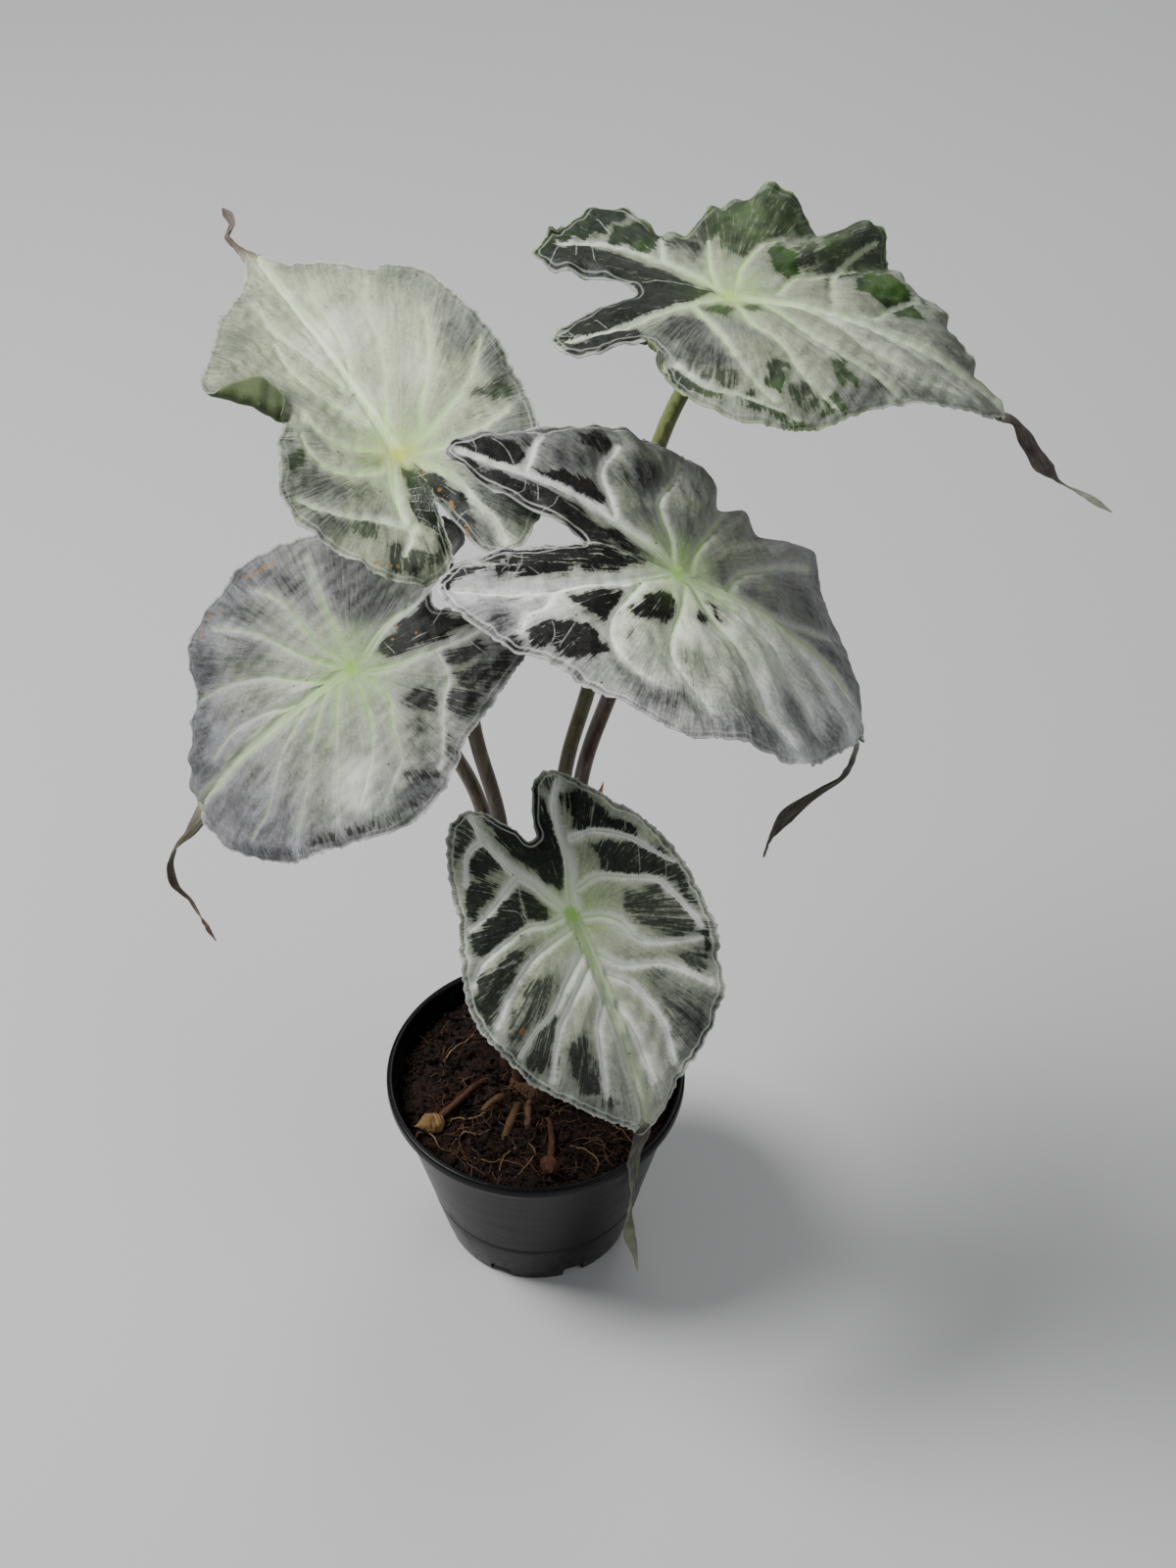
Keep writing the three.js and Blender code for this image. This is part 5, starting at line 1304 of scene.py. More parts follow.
# Left leaf
# It hangs to the left with its tip down, and is the palest of the five: its windows have all but silvered
# over, apart from the web between its two basal ribs.
left = {
    "crown": (-61, -6, 314.5), "aim": (-162, -31, -31), "fold": (1, 7), "bend": (-6, -6),
    "arch": (60, 48, 70, 34), "twist": -6, "hub": (0, 0), "seed": 23, "quilt": 1.2, "ruffle": 0.8,
    "rib_width": 0.9, "rib_tint": (0.45, 0, 0.85), "tone": 0.5, "edge_tone": 0.35, "edge_fade": 5,
    "outline": [
        (0, 100), (9, 92), (18, 80), (24, 68), (33, 58), (44, 50), (50, 40), (53, 28), (55, 15), (53, 2),
        (50, -9), (47, -18), (42, -29), (36, -42), (29, -54), (22, -60), (16, -56), (12.5, -47), (3, -36),
        (-5, -46), (-10, -56), (-14, -61), (-22, -60), (-29, -54), (-34, -45), (-40, -32), (-46, -20),
        (-53, -10), (-58, 2), (-58, 14), (-54, 26), (-50, 37), (-46, 50), (-42, 62), (-32, 75), (-20, 86),
        (-9, 95),
    ],
    "ripples": [(40, 9, 25, 1.5), (-60, 9, 25, 1.5), (-30, 8, 30, -2)],
    "stalk": [(-10.5, 11), (-14, 17, 150), (-18, 19, 215), (-27, 14, 251), (-43, 2, 290)],
    "stalk_colours": [(66, 46, 32), (88, 70, 46), (94, 84, 52), (100, 102, 60)],
    "tail": [
        (-126, -3, 230), (-132, -2, 220), (-135, 0, 208), (-134, 0, 198), (-129, 0, 190), (-126, 1, 179),
        (-124, 2, 172), (-122, 3, 163),
    ],
    "tail_width": (11, 8, 5, 3, 3.4, 3, 1.8, 3.4, 3, 1.6),
    "tail_turn": (0, 0, 20, 60, 90, 100, 140, 190, 220, 240),
    "tail_colours": [
        (140, 140, 126), (52, 43, 33), (46, 37, 29), (58, 46, 35), (126, 92, 62), (140, 102, 70),
    ],
    "ribs": [
        [(1, -6), (6, -19), (7, -29), (10, -42), (18, -54)],
        [(-4, -4), (-8, -13), (-10, -23), (-12, -33), (-13, -44), (-14, -55)],
    ],
    "laterals": [
        [(4, -2), (14, -2), (23, -3), (34, -5), (43, -7)], [(3, 0), (12, 5), (23, 7), (35, 9), (44, 15)],
        [(3, 3), (12, 11), (23, 18), (33, 25), (43, 37)], [(1, 10), (9, 20), (17, 30), (25, 48), (27, 59)],
        [(-1, 22), (6, 35), (9, 51), (8, 68)], [(-6, -4), (-17, -6), (-27, -2), (-38, 1), (-46, 12)],
        [(-4, 1), (-18, 3), (-29, 8), (-42, 20)], [(-2, 7), (-14, 15), (-28, 23), (-42, 30)],
        [(-2, 13), (-13, 26), (-25, 36), (-38, 52)], [(-2, 22), (-10, 40), (-20, 54), (-26, 69)],
        [(-13, -28), (-22, -27), (-30, -20), (-41, -14), (-48, -9)],
    ],
    "windows": [
        (1, 0, [(0, -10), (2, -17), (4, -25), (7, -35), (7, -39), (1, -38), (-5, -41), (-10, -45), (-10, -36),
            (-8, -29), (-6, -19), (-4, -13)]),
        (0.9, 0, [(-16, -30), (-16, -38), (-18, -43), (-21, -43), (-21, -36), (-19, -30)]),
        (0.9, 0, [(-23, -30), (-24, -35), (-27, -41), (-30, -38), (-30, -33), (-27, -29)]),
        (0.9, 0, [(-27, -25), (-30, -32), (-34, -33), (-37, -28), (-37, -23), (-32, -22)]),
        (0.8, 0, [(-23, -47), (-27, -50), (-32, -45), (-34, -37), (-34, -34), (-29, -40)]),
        (0.9, 0, [(-20, -11), (-20, -16), (-24, -20), (-27, -20), (-30, -17), (-27, -13), (-23, -10)]),
        (0.6, 0, [(-28, -8), (-30, -13), (-34, -15), (-36, -12), (-32, -8)]),
        (0.6, 0, [(-37, -5), (-40, -9), (-42, -11), (-41, -7)]),
        (0.85, 0, [(-42, 3), (-44, -2), (-48, -7), (-50, -7), (-49, -2), (-45, 2)]),
        (0.45, 0, [(44, 6), (42, 1), (36, -1), (31, 2), (34, 6), (39, 8)]),
        (0.3, 0, [(34, -11), (33, -15), (25, -13), (17, -13), (18, -8), (26, -8)]),
        (0.35, 0, [(23, -17), (21, -25), (11, -24), (9, -19), (13, -14)]),
        (0.45, 0, [(45, 30), (41, 23), (35, 19), (34, 22), (38, 26)]),
        (0.5, 0, [(38, 35), (34, 29), (29, 27), (31, 33)]),
        (0.4, 0, [(31, 59), (28, 55), (23, 57), (24, 62)]),
        (0.7, 0, [(-40, -17), (-43, -18), (-49, -14), (-45, -13)]),
        (0.6, 0, [(-49, -8), (-48, -13), (-52, -9), (-52, -6)]),
        (0.4, 0, [(-23, 67), (-26, 60), (-30, 64), (-28, 69)]),
    ],
    "threads": [
        [(0, -15), (-4, -16)], [(-4, -24), (-5, -29)], [(-3, -33), (0, -38)], [(-16, -40), (-22, -42)],
    ],
    "specks": [
        (4, -21, 0.7, 1), (0, -18, 0.6, 1), (-3, -26, 0.6, 1), (48, 5, 1, 1), (48.5, 8, 1.2, 1),
        (49, 12, 0.9, 1), (50, 16, 1, 1), (44, 43, 0.8, 1), (48, 37, 0.8, 1), (46, 31, 0.7, 1),
        (-37, 5, 0.6, 0), (6, 16, 0.5, 0), (7, 21, 0.5, 0), (12, 44, 0.6, 0), (35, -11, 0.5, 0),
    ],
    "combs": [(-44, 42, 22), (-50, 22, 18), (-34, 64, 16), (-52, 4, 12)],
    "shades": [
        (51, 14, 9, 0.81), (39, 6, 9, 0.68), (32, -14, 13, 0.88), (17, -17, 11, 0.81), (26, 0, 7, 0.47),
        (44, 25, 8, 0.74), (42, 40, 8, 0.68), (34, 49, 8, 0.74), (26, 61, 7, 0.68), (14, 69, 7, 0.68),
        (1, 74, 7, 0.61), (32, 26, 7, 0.68), (-23, 68, 10, 0.54), (-29, 55, 8, 0.47), (-25, 6, 7, 0.41),
        (-50, 6, 8, 0.54), (-49, -5, 7, 0.61), (-34, 17, 12, -0.3), (-1, 19, 10, -0.3), (-24, -18, 5, 0.54),
        (4, 34, 8, -0.2), (-43, 19, 8, -0.3), (-8, -14, 7, -0.15),
    ],
}

add_leaf("left", left)


# Centre leaf
# The largest, in the middle of the plant. Its basal lobes point back to the left with long dark windows
# between their ribs, and its far half is greyer than the near one, partly its own silver and partly painted
# shade.
centre = {
    "crown": (50, -28, 377), "aim": (4, -31, 16), "fold": (2, 3), "bend": (6, -22), "arch": (66, 36, 52, 33),
    "twist": 14, "hub": (0, 0), "seed": 37, "quilt": 2.3, "ruffle": 1.0, "rib_width": 0.85,
    # The second tone darkens the far half: partly its own greyer silver, partly painted shade
    "rib_tint": (0.9, 0, 0.7), "tone": (1.05, 0.42), "edge_tone": 0.8, "edge_fade": 15,
    "outline": [
        (-1, 121), (8, 107), (20, 94), (32, 80), (44, 67), (54, 54), (60, 41), (61, 28), (63, 14), (65, 3),
        (62, -8), (58, -20), (53, -31), (48, -41), (46, -52), (40, -62), (33, -73), (25, -77), (16, -71),
        (10, -60), (5, -48), (0, -34), (-4, -44), (-9, -59), (-16, -74), (-25, -85), (-31, -77), (-38, -63),
        (-43, -48), (-50, -35), (-54, -22), (-57, -8), (-60, 4), (-59, 18), (-57, 30), (-54, 44), (-50, 58),
        (-46, 72), (-40, 84), (-30, 95), (-19, 105), (-9, 113),
    ],
    "ripples": [
        (-62, 6, 20, -5), (-40, 8, 25, 2), (35, 9, 30, -1.5), (70, 9, 30, 1.5), (-46, 6, 22, -4),
        (-33, 5, 30, 1.5),
    ],
    "stalk": [(9, 3), (13, 4, 160), (18.5, 3, 251), (28, -2, 296), (41, -16, 349)],
    "stalk_colours": [(52, 32, 25), (64, 38, 30), (70, 48, 35), (84, 80, 50)],
    "tail": [
        (115, -12, 275), (111, -12, 266), (102, -13, 259), (92, -14, 249), (88, -14, 242), (86, -14, 235),
        (85, -14, 228),
    ],
    "tail_width": (6, 6, 5, 2.2, 3.2, 5, 4.2, 2, 2.6),
    "tail_turn": (0, 0, 30, 70, 90, 120, 150, 190, 230),
    "tail_colours": [(140, 140, 132), (32, 28, 27), (22, 18, 19), (34, 28, 27), (76, 68, 56)],
    "ribs": [
        [(-1, 0), (-6, -10), (-11, -24), (-15, -34), (-18, -46), (-20, -57), (-22, -68), (-25, -80)],
        [(2, -3), (8, -14), (13, -25), (17, -34), (22, -43), (25, -54), (26, -64), (27, -72)],
    ],
    "laterals": [
        [(-20, -57), (-26, -56), (-32, -55), (-37, -53)],
        [(-13, -25), (-21, -28), (-27, -31), (-33, -30), (-43, -25)],
        [(-4, -2), (-13, -4), (-23, -9), (-31, -6), (-38, -2), (-50, 2)],
        [(-2, 5), (-10, 6), (-21, 12), (-36, 21), (-50, 30)],
        [(-2, 20), (-11, 25), (-20, 37), (-27, 46), (-36, 62)], [(22, -42), (28, -44), (33, -49), (39, -50)],
        [(9, -13), (18, -18), (26, -22), (34, -22), (42, -17), (46, -9)],
        [(2, 3), (13, 2), (24, -1), (33, -2), (43, 3), (52, 11)],
        [(2, 5), (12, 14), (19, 23), (29, 30), (42, 35), (50, 42)],
        [(2, 14), (6, 27), (10, 38), (21, 49), (34, 62)], [(-1, 35), (1, 49), (7, 62), (17, 76), (20, 86)],
        [(-2, 42), (-8, 60), (-18, 80)],
    ],
    "windows": [
        (1, 0, [(-26, -83), (-28, -81), (-30, -75), (-31, -69), (-31, -63), (-30, -59), (-26, -58),
            (-23, -59), (-22, -64), (-23, -70), (-25, -77)]),
        (1, 0, [(-22, -81), (-21, -76), (-19, -69), (-18, -61), (-17, -55), (-16, -50), (-14, -46),
            (-11, -41), (-9, -35), (-7, -29), (-6, -23), (-4, -17), (-2, -11), (-1, -15), (-1, -22),
            (-1, -28), (0, -34), (-1, -36), (-3, -40), (-5, -45), (-8, -52), (-11, -59), (-14, -67),
            (-17, -74), (-20, -79)]),
        (1, 0, [(9, -53), (6, -47), (4, -41), (1, -35), (0, -28), (0, -22), (0, -12), (2, -13), (6, -20),
            (9, -27), (12, -35), (16, -42), (19, -49), (19, -53), (20, -59), (18, -61), (16, -60), (14, -56),
            (12, -57)]),
        (1, 0, [(13, -66), (12, -62), (11, -58), (14, -58), (16, -60), (16, -64)]),
        (1, 0, [(23, -76), (20, -74), (18, -71), (18, -66), (18, -63), (20, -63), (22, -68), (25, -72),
            (28, -74), (26, -76)]),
        (1, 0, [(-21, -54), (-21, -51), (-22, -44), (-23, -38), (-22, -33), (-19, -30), (-17, -28),
            (-15, -31), (-16, -35), (-17, -42), (-18, -47), (-19, -52)]),
        (0.9, 0, [(-40, -40), (-45, -36), (-46, -30), (-44, -27), (-38, -28), (-37, -32), (-37, -37)]),
        (0.45, 0, [(-26, -51), (-33, -47), (-36, -42), (-34, -36), (-30, -32), (-26, -37), (-24, -44),
            (-24, -49)]),
        (0.55, 0, [(-35, -19), (-39, -15), (-40, -11), (-35, -11), (-29, -14), (-26, -18), (-30, -20)]),
        (0.4, 0, [(-31, -27), (-34, -23), (-29, -21), (-23, -22), (-25, -26)]),
        (1, 0, [(22, -37), (20, -32), (17, -26), (15, -19), (18, -19), (23, -20), (28, -23), (29, -27),
            (27, -32), (25, -36)]),
        (1, 0, [(14, -11), (10, -7), (9, -3), (12, -1), (18, -1), (22, -4), (24, -9), (24, -16), (20, -15)]),
        (1, 0, [(39, -48), (37, -46), (34, -41), (32, -34), (32, -30), (35, -26), (39, -23), (41, -23),
            (44, -27), (46, -31), (45, -35), (44, -40), (43, -44), (41, -47)]),
        (0.7, 0, [(33, -19), (30, -17), (28, -14), (31, -14), (34, -16)]),
        (1, 0, [(14, 7), (12, 9), (13, 12), (17, 12), (17, 10), (16, 8)]),
        (1, 0, [(5, 10), (6, 14), (10, 17), (11, 18), (10, 15), (7, 12)]),
        (0.95, 0, [(43, -56), (42, -53), (44, -49), (45, -46), (46, -49), (45, -54)]),
        (0.5, 0, [(37, -60), (35, -57), (34, -54), (38, -53), (41, -55), (41, -58)]),
        (0.7, 0, [(28, -59), (27, -55), (25, -50), (28, -54), (29, -57)]),
        (0.4, 0, [(32, 2), (30, 5), (32, 10), (37, 12), (44, 10), (44, 6), (39, 3)]),
        (0.5, 0, [(51, -6), (48, -2), (49, 2), (54, 3), (57, -1), (55, -5)]),
        (0.7, 0, [(-33, -67), (-36, -61), (-37, -56), (-34, -54), (-32, -57), (-33, -63)]),
    ],
    "threads": [
        [(-29, -76), (-26, -74), (-22, -74)], [(-30, -69), (-27, -64), (-23, -61)], [(-20, -70), (-18, -73)],
        [(-17, -56), (-13, -56), (-11, -59)], [(-12, -45), (-9, -46), (-7, -49)], [(-16, -52), (-11, -51)],
        [(0, -34), (0, -26), (1, -17), (1, -9)], [(21, -43), (18, -46), (16, -50)], [(17, -35), (14, -38)],
        [(13, -27), (10, -30)], [(10, -53), (15, -53), (20, -55)], [(12, -58), (14, -57), (18, -58)],
        [(17, -62), (16, -54)], [(35, -41), (40, -40), (44, -41)], [(33, -34), (38, -36), (43, -38)],
        [(19, -70), (23, -68)], [(16, -66), (18, -63)],
    ],
    "specks": [
        (30, -34, 0.6, 0), (-8, -9, 0.5, 0), (53, -24, 0.6, 0), (-37, -2, 0.5, 0), (-33, -52, 0.6, 0),
        (9, -13, 0.5, 0),
    ],
    "shades": [
        (-30, -40, 8, 0.7), (-38, -46, 7, 0.5), (-39, -20, 8, 0.6), (-33, -14, 8, 0.85), (-50, 3, 8, 0.6),
        (-37, 8, 8, 0.6), (-17, -11, 8, 0.6), (-14, 0, 8, 0.55), (-31, 20, 8, 0.5), (-52, 39, 8, 0.45),
        (-9, 12, 8, 0.5), (-7, 28, 10, 0.6), (-1, 16, 7, 0.55), (-19, 51, 8, 0.45), (-16, 61, 8, 0.6),
        (-9, 71, 8, 0.6), (-6, 86, 8, 0.55), (-3, 43, 8, 0.5), (48, -11, 8, 0.55), (52, 11, 10, 0.5),
        (52, 25, 10, 0.5), (32, 49, 8, 0.6), (36, 62, 9, 0.5), (42, -17, 8, 0.35), (33, -62, 10, 0.5),
        (41, -53, 8, 0.5), (50, -32, 8, 0.35), (36, 26, 7, 0.3), (16, 20, 8, -0.5), (19, 36, 7, -0.4),
        (21, 4, 8, -0.4), (14, 66, 7, -0.4), (56, -4, 8, 0.4), (25, 82, 6, -0.3),
    ],
}

add_leaf("centre", centre)

path = smooth_path([(23.5, 2.5, 240), (24.5, 2, 243), (26, 2.5, 247), (26.5, 2, 251)], 6)
points, faces = tube(path, np.interp(np.linspace(0, 1, len(path)), (0, 0.4, 1), (1.1, 1.0, 0.12)), 10)
bract = add_piece("withered_bract_tip", points, faces, [stalk_skin], "leaf_stalk", "stalk_centre")
set_colours(bract, np.tile(srgb(196, 138, 66), (len(points), 1)))


# Upper right leaf
# The highest and the newest, held nearly level. Its far margin stands up in green ruffles that have not
# silvered yet, and its near basal lobe is rolled over.
upper_right = {
    "crown": (68, 52, 429), "aim": (-1, -5, -6), "fold": (2, 9), "bend": (-22, 6), "arch": (60, 36, 44, 13),
    "twist": 0, "hub": (0, 0), "seed": 41, "quilt": 2.0, "ruffle": (0.5, 1.9), "rib_width": 0.6,
    "rib_tint": (0.95, 0.3, 0.3), "tone": (0.52, 0.46), "edge_tone": 0.4, "edge_fade": 20,
    "outline": [
        (1, 108), (12, 99), (20, 88), (26, 76), (33, 64), (41, 52), (50, 40), (58, 27), (61, 15), (60, 3),
        (55, -8), (50, -17), (42, -22), (34, -23), (29, -27), (30, -35), (35, -43), (35, -52), (28, -59),
        (20, -55), (14, -47), (7, -39), (1, -31), (-4, -38), (-9, -48), (-14, -60), (-21, -66), (-30, -60),
        (-37, -51), (-43, -46), (-44, -39), (-37, -30), (-32, -22), (-33, -14), (-42, -7), (-50, 0),
        (-55, 10), (-54, 22), (-51, 34), (-53, 47), (-43, 57), (-33, 64), (-27, 75), (-20, 82), (-11, 91),
        (-6, 99),
    ],
    "ripples": [
        (-57, 7, 20, -7), (-75, 8, 25, 2), (-45, 7, 25, 2), (60, 8, 30, -1.5), (-101, 7, 22, 4),
        (-116, 7, 22, -3), (-88, 6, 22, -3), (-36, 6, 25, -3),
    ],
    "cuff": {
        "from": (47, -19), "to": (34, -41), "width": (1.5, 3.5, 5, 5.5, 5, 4, 1.5), "radius": 2.4,
        "turn": 115,
    },
    "stalk": [(4, 12.5), (8, 14, 150), (12.5, 17, 241), (21.5, 24, 278), (48, 42, 384)],
    "stalk_colours": [(68, 54, 36), (82, 74, 44), (104, 122, 66), (120, 142, 76)],
    "tail": [
        (167, 46, 381.5), (170, 45, 377), (174, 44, 370), (179, 43, 362), (184, 42, 358), (191, 41, 354),
        (197, 40, 351), (204, 40, 346),
    ],
    "tail_width": (8, 6, 3, 4, 6.5, 6, 3.6, 2.6, 3, 1.8),
    "tail_turn": (0, 0, 40, 70, 90, 110, 150, 180, 220, 250),
    "tail_colours": [
        (150, 150, 130), (50, 33, 38), (52, 34, 41), (66, 51, 54), (138, 140, 122), (156, 158, 138),
    ],
    "ribs": [
        [(-2, -3), (-8, -10), (-15, -21), (-21, -34), (-24, -45), (-24, -57)],
        [(2, -4), (9, -17), (17, -28), (23, -38), (27, -48), (29, -54)],
    ],
    "laterals": [
        [(8, -13), (21, -5), (33, 1), (41, 6), (50, 14)], [(5, 2), (16, 7), (25, 17), (37, 24), (46, 36)],
        [(3, 12), (14, 24), (22, 35), (27, 47), (32, 58)], [(2, 25), (6, 37), (14, 48), (17, 66), (16, 82)],
        [(-1, 42), (4, 60), (8, 77), (13, 90)], [(38, -19), (47, -9), (49, 1), (53, 14), (55, 24)],
        [(-5, -5), (-17, -7), (-27, -7)], [(-6, 2), (-16, 4), (-27, 10), (-35, 18)],
        [(-5, 16), (-14, 22), (-18, 30), (-30, 44)], [(-6, 35), (-17, 35), (-32, 41), (-44, 50)],
        [(-5, 49), (-16, 59), (-24, 66)], [(-17, -23), (-27, -23)],
    ],
    "windows": [
        (1, 0.08, [(-23, -61), (-23, -50), (-19, -40), (-14, -30), (-10, -23), (-6, -15), (-2, -7), (0, -6),
            (3, -10), (8, -18), (13, -25), (19, -34), (24, -43), (27, -50), (28, -57), (20, -54), (14, -46),
            (7, -38), (1, -30), (-4, -37), (-9, -47), (-14, -59), (-20, -65)]),
        (1, 0.4, [(-21, -66), (-30, -60), (-32, -56), (-26, -58), (-21, -59), (-16, -62)]),
        (1, 0.4, [(-26, -57), (-31, -59), (-37, -51), (-43, -46), (-44, -39), (-38, -32), (-33, -39),
            (-27, -44), (-26, -50)]),
        (0.95, 0.8, [(-28, -40), (-33, -35), (-33, -28), (-31, -23), (-24, -23), (-19, -28), (-22, -35),
            (-24, -40)]),
        (0.8, 0.5, [(-25, -23), (-26, -16), (-25, -9), (-21, -10), (-22, -17)]),
        (0.74, 0.9, [(-28, -13), (-38, -11), (-45, -4), (-52, 7), (-54, 14), (-54, 22), (-53, 27), (-48, 30),
            (-30, 27), (-44, 27), (-40, 21), (-31, 14), (-24, 8), (-21, 6), (-23, -1), (-29, -4), (-25, -7)]),
        (1, 1, [(-24, 13), (-31, 18), (-25, 22), (-18, 23), (-12, 20), (-15, 15)]),
        (0.9, 0.3, [(-30, 21), (-39, 28), (-27, 29), (-19, 26), (-21, 23)]),
        (0.76, 0.75, [(-33, 30), (-53, 38), (-54, 44), (-49, 48), (-52, 53), (-47, 57), (-36, 56), (-29, 49),
            (-25, 44), (-20, 37), (-13, 32), (-20, 30)]),
        (1, 0.9, [(-20, 42), (-29, 49), (-33, 56), (-27, 60), (-20, 66), (-15, 69), (-11, 60), (-13, 54),
            (-15, 48), (-14, 43)]),
        (0.62, 0, [(14, -12), (18, -20), (27, -22), (31, -17), (27, -11), (20, -7)]),
        (0.6, 0, [(34, -19), (41, -17), (42, -8), (38, -2), (31, -5), (29, -12)]),
        (0.9, 0.3, [(10, -10), (7, -4), (7, 1), (13, 0), (13, -5)]),
        (0.85, 0.3, [(6, 4), (4, 9), (7, 12), (10, 9)]),
        (0.45, 0.3, [(25, -18), (23, -12), (26, -10), (28, -15)]),
        (0.85, 0.6, [(41, -22), (40, -17), (46, -11), (49, -4), (52, -2), (51, -9), (49, -16), (46, -21)]),
        (0.7, 0.3, [(41, -11), (41, -4), (42, 1), (46, 2), (48, -2), (45, -8)]),
        (0.9, 0.8, [(40, 11), (32, 15), (34, 18), (43, 18), (48, 17), (45, 12)]),
        (0.9, 0.6, [(50, 3), (47, 7), (52, 10), (55, 19), (58, 19), (56, 12), (55, 5)]),
        (0.65, 0.4, [(44, 20), (40, 25), (43, 29), (48, 31), (52, 26), (50, 22)]),
        (0.85, 0.6, [(45, 31), (43, 35), (45, 41), (48, 40), (50, 33)]),
        (0.9, 0.7, [(29, 34), (27, 37), (34, 42), (37, 42), (39, 37), (35, 35)]),
        (0.7, 0.2, [(30, 48), (32, 53), (34, 54), (34, 49)]),
        (0.9, 0.7, [(58, 19), (56, 24), (55, 29), (58, 26), (59, 21)]),
        (1, 0, [(31, -53), (28, -45), (24, -38), (22, -32), (27, -29), (31, -35), (35, -43), (35, -52)]),
        (0.95, 0.2, [(26, -59), (27, -54), (33, -52), (31, -57)]),
        (0.4, 0.2, [(-30, 66), (-28, 71), (-22, 77), (-14, 79), (-17, 73), (-22, 69)]),
        (0.35, 0, [(21, 23), (23, 27), (29, 26), (26, 23)]),
    ],
    "threads": [
        [(-23, -51), (-18, -51)], [(-23, -46), (-15, -45)], [(-3, -29), (-4, -17), (-2, -5)],
        [(24, -53), (27, -51)], [(-28, -40), (-35, -44)], [(24, -58), (27, -52)], [(-25, -56), (-15, -60)],
        [(19, -44), (22, -41)],
    ],
    "specks": [(15, -28, 0.5, 0), (-28, -15, 0.6, 0), (23, -50, 0.6, 0), (22, -47, 0.5, 0)],
    "shades": [
        (19, -14, 9, 1.17), (30, -19, 7, 1.04), (21, -5, 9, 1.04), (37, -5, 9, 1.04), (20, 8, 8, 0.65),
        (35, 41, 8, 0.65), (26, 18, 7, 0.39), (-18, -14, 6, 0.65), (-25, -24, 6, 0.52), (-4, 79, 7, 0.52),
        (-18, 12, 6, 0.39), (8, 1, 6, 0.39), (-3, 51, 8, -0.3), (1, 33, 8, -0.4), (25, 25, 7, -0.3),
        (19, 60, 8, -0.3), (-10, 15, 8, -0.2),
    ],
}

add_leaf("upper_right", upper_right)


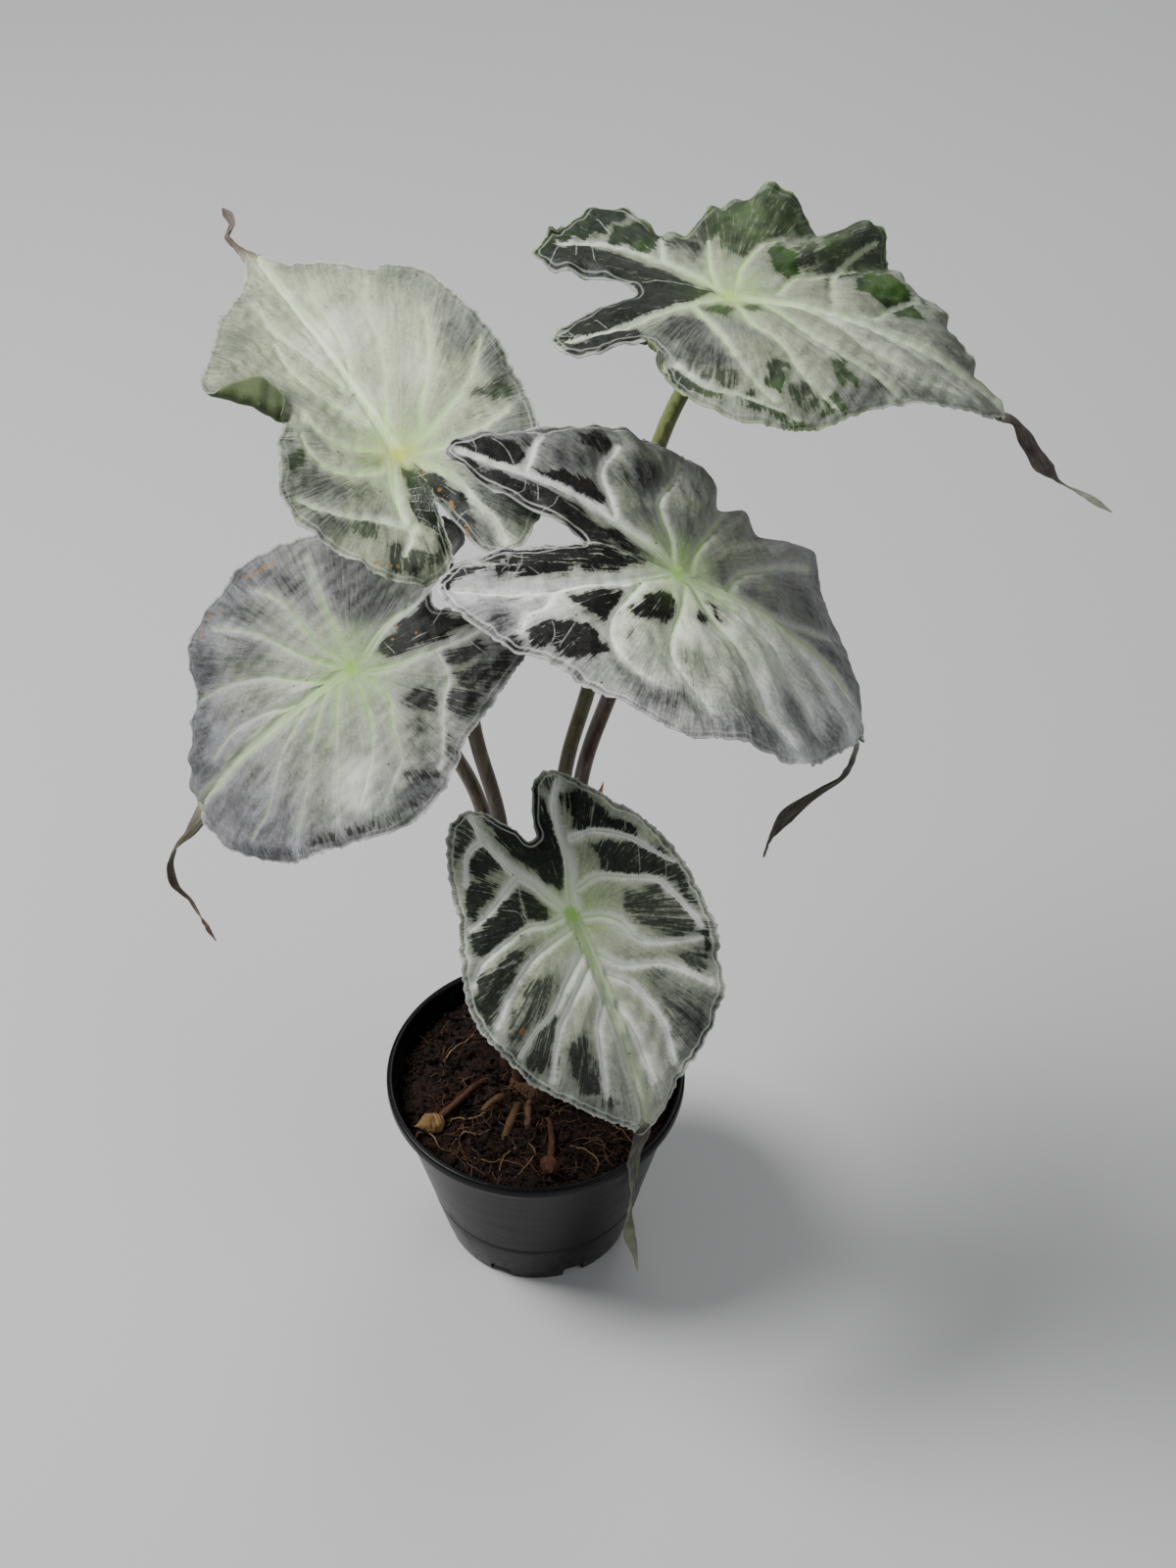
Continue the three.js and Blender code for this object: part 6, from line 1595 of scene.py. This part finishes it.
# Front leaf
# The smallest, which hangs over the rim of the pot. Its dark windows are the clearest of all, with a white
# double line along its margin.
front = {
    "crown": (15, -48, 235), "aim": (-57, -38, -5), "fold": (6, 6), "bend": (-6, 10),
    "arch": (60, 30, 45, 22), "twist": -15, "hub": (0, 0), "seed": 53, "quilt": 1.6, "ruffle": 0.9,
    "rib_width": 1.1, "rib_tint": (0.1, 0, 0.4), "tone": 0.68, "edge_tone": 0.9, "edge_fade": 100,
    "outline": [
        (1, 87), (9, 79), (18, 71), (28, 60), (38, 49), (45, 37), (50, 26), (51, 12), (48, 0), (43, -12),
        (40, -25), (36, -36), (30, -45), (20, -48.5), (12, -44), (6, -36), (0, -29), (-5, -39), (-11, -48),
        (-19, -50), (-27, -42), (-34, -31), (-41, -20), (-45, -8), (-47, 5), (-46, 18), (-45, 31), (-41, 44),
        (-35, 56), (-26, 64), (-18, 69), (-11, 77), (-5, 83),
    ],
    "ripples": [
        (55, 8, 25, 1.5), (-70, 8, 25, 1.5), (-35, 8, 30, -1.5), (-62, 5, 22, 3), (-50, 4, 22, -3),
        (-40, 4, 22, 2.5),
    ],
    "stalk": [(4, -5), (4, -11, 120), (5.5, -22, 170), (8.5, -34, 207)],
    "stalk_colours": [(64, 48, 32), (78, 68, 42), (92, 96, 56), (104, 116, 66)],
    "tail": [
        (38, -95, 155), (37.5, -95, 143), (37, -95, 131), (36, -94, 120), (36, -94, 110), (38.5, -93, 95),
        (40, -92, 80.5),
    ],
    "tail_width": (9, 7, 4.5, 3.4, 1.9, 4, 5.2, 2.6, 1.6),
    "tail_turn": (0, 0, 15, 40, 90, 150, 190, 230, 260),
    "tail_colours": [(34, 34, 27), (34, 34, 26), (36, 36, 28), (84, 88, 68), (106, 110, 86)],
    "ribs": [
        [(1, -1), (5, -8), (9, -15), (14, -21), (17, -29), (20, -36), (20, -45)],
        [(-2, -1), (-4, -8), (-8, -17), (-10, -27), (-13, -37), (-20, -45)],
    ],
    "laterals": [
        [(15, -19), (24, -15), (31, -12), (40, -10)], [(20, -36), (28, -34), (34, -24)],
        [(4, 0), (11, 0), (18, -2), (31, 0), (42, 3), (47, 8)],
        [(1, 5), (13, 7), (25, 10), (35, 16), (45, 24)], [(0, 13), (15, 23), (23, 29), (32, 32), (40, 37)],
        [(1, 19), (16, 30), (24, 37), (31, 50)], [(0, 31), (7, 40), (10, 50), (13, 66)],
        [(-13, -24), (-22, -23), (-32, -16), (-38, -8), (-43, -1)],
        [(-7, -7), (-15, -8), (-25, -3), (-34, 2), (-38, 11), (-41, 23)],
        [(-3, 3), (-11, 6), (-16, 11), (-18, 17), (-22, 21), (-40, 27)],
        [(-3, 17), (-9, 24), (-16, 27), (-24, 30), (-36, 42)],
        [(-3, 25), (-10, 32), (-14, 42), (-16, 52), (-15, 64)], [(-2, 37), (-5, 50), (-6, 68)],
    ],
    "windows": [
        (1, 0, [(-12, -48), (-10, -40), (-10, -33), (-9, -24), (-6, -17), (-3, -9), (0, -8), (2, -12),
            (7, -19), (10, -24), (14, -32), (15, -39), (13, -45), (9, -40), (3, -32), (0, -30), (-5, -38),
            (-9, -45)]),
        (0.85, 0, [(28, -46), (23, -48), (20, -45), (21, -40), (25, -38), (31, -35), (34, -33), (34, -36)]),
        (0.95, 0, [(25, -34), (21, -34), (18, -30), (18, -25), (20, -23), (24, -26), (28, -24), (31, -26),
            (29, -31)]),
        (0.95, 0, [(32, -25), (27, -24), (23, -20), (27, -17), (31, -14), (37, -12), (39, -15), (36, -22)]),
        (1, 0, [(15, -15), (11, -11), (9, -6), (8, -1), (12, -2), (17, -4), (17, -8), (17, -12)]),
        (0.95, 0, [(20, -15), (16, -15), (18, -11), (19, -3), (23, -2), (29, -2), (36, 0), (41, 0), (42, -4),
            (39, -9), (34, -10), (29, -11)]),
        (0.9, 0, [(27, 4), (30, 3), (38, 5), (44, 7), (47, 11), (49, 16), (48, 21), (46, 23), (43, 20),
            (39, 16), (34, 13), (29, 9), (24, 6)]),
        (0.55, 0, [(23, 2), (15, 3), (18, 5), (25, 5)]),
        (0.75, 0, [(31, 17), (25, 15), (18, 16), (17, 20), (21, 24), (28, 27), (33, 29), (38, 33), (42, 32),
            (41, 27), (38, 22)]),
        (0.85, 0, [(26, 31), (22, 31), (24, 35), (27, 40), (30, 46), (34, 48), (37, 44), (38, 39), (34, 34),
            (30, 32)]),
        (0.85, 0, [(18, 40), (14, 41), (13, 45), (13, 51), (14, 58), (14, 63), (19, 62), (22, 58), (24, 52),
            (24, 46), (22, 42)]),
        (0.8, 0, [(16, 64), (11, 67), (10, 70), (12, 71), (16, 67)]),
        (1, 0, [(-19, -40), (-24, -40), (-27, -33), (-31, -25), (-35, -18), (-35, -14), (-32, -18),
            (-28, -21), (-23, -23), (-19, -24), (-16, -27), (-16, -33)]),
        (0.85, 0, [(-14, -48), (-18, -47), (-21, -45), (-18, -43), (-14, -42), (-13, -45)]),
        (0.9, 0, [(-42, -4), (-44, 2), (-44, 9), (-42, 16), (-40, 14), (-39, 8), (-38, 3)]),
        (0.95, 0, [(-19, -19), (-22, -18), (-31, -14), (-34, -10), (-41, -7), (-42, -3), (-38, 2), (-33, 0),
            (-25, -4), (-19, -9), (-18, -13)]),
        (0.8, 0, [(-21, 2), (-27, 3), (-33, 5), (-37, 10), (-38, 16), (-40, 20), (-38, 24), (-32, 22),
            (-27, 20), (-24, 16), (-20, 13), (-19, 8)]),
        (0.75, 0, [(-29, 27), (-35, 29), (-38, 33), (-38, 37), (-33, 37), (-30, 32)]),
        (0.6, 0, [(-16, 31), (-20, 31), (-23, 34), (-20, 34)]),
        (0.5, 0, [(-18, 39), (-25, 39), (-30, 42), (-33, 48), (-31, 54), (-28, 59), (-23, 59), (-18, 56),
            (-17, 51), (-17, 45)]),
        (0.9, 0, [(-43, 21), (-44, 26), (-40, 34), (-38, 37), (-39, 31), (-41, 24)]),
        (0.8, 0, [(45, 33), (42, 35), (40, 41), (38, 47), (33, 54), (37, 51), (41, 44), (44, 38)]),
        (0.6, 0, [(25, 61), (19, 65), (14, 70), (17, 70), (22, 66)]),
    ],
    "threads": [
        [(-21, -39), (-18, -33), (-15, -29)], [(-27, -31), (-21, -24)], [(-14, -48), (-12, -42)],
        [(-19, -48), (-17, -43)], [(-34, -11), (-30, -3)], [(-42, -5), (-38, 2)], [(-35, -23), (-33, -19)],
        [(-21, -11), (-19, -8)], [(25, -11), (20, -8), (19, -1)], [(16, -15), (18, -7)],
        [(26, -25), (22, -21)], [(38, 6), (29, 7)], [(35, 7), (30, 6)], [(12, -41), (18, -44)],
    ],
    "specks": [
        (37, 29, 1.5, 1), (15, -21, 0.6, 0), (2, 9, 0.5, 0), (2, 11, 0.5, 0), (17, 21, 0.4, 0),
        (-13, 46, 0.6, 1), (-1, 55, 0.5, 0), (0, -24, 0.8, 0), (-20, 40, 0.4, 0), (5, 62, 0.4, 0),
    ],
    "shades": [
        (-16, 28, 6, 0.35), (-20, 36, 8, 0.4), (-24, 46, 7, 0.5), (-27, 53, 7, 0.5), (-22, 59, 7, 0.35),
        (-21, 4, 4, 0.3), (1, 33, 8, -0.5), (8, 19, 8, -0.5), (-2, 17, 7, -0.4), (-10, 61, 7, -0.4),
        (-2, 49, 9, -0.4), (25, 35, 6, -0.3), (-10, 1, 5, -0.3), (-15, 13, 7, -0.3),
    ],
}

add_leaf("front", front)
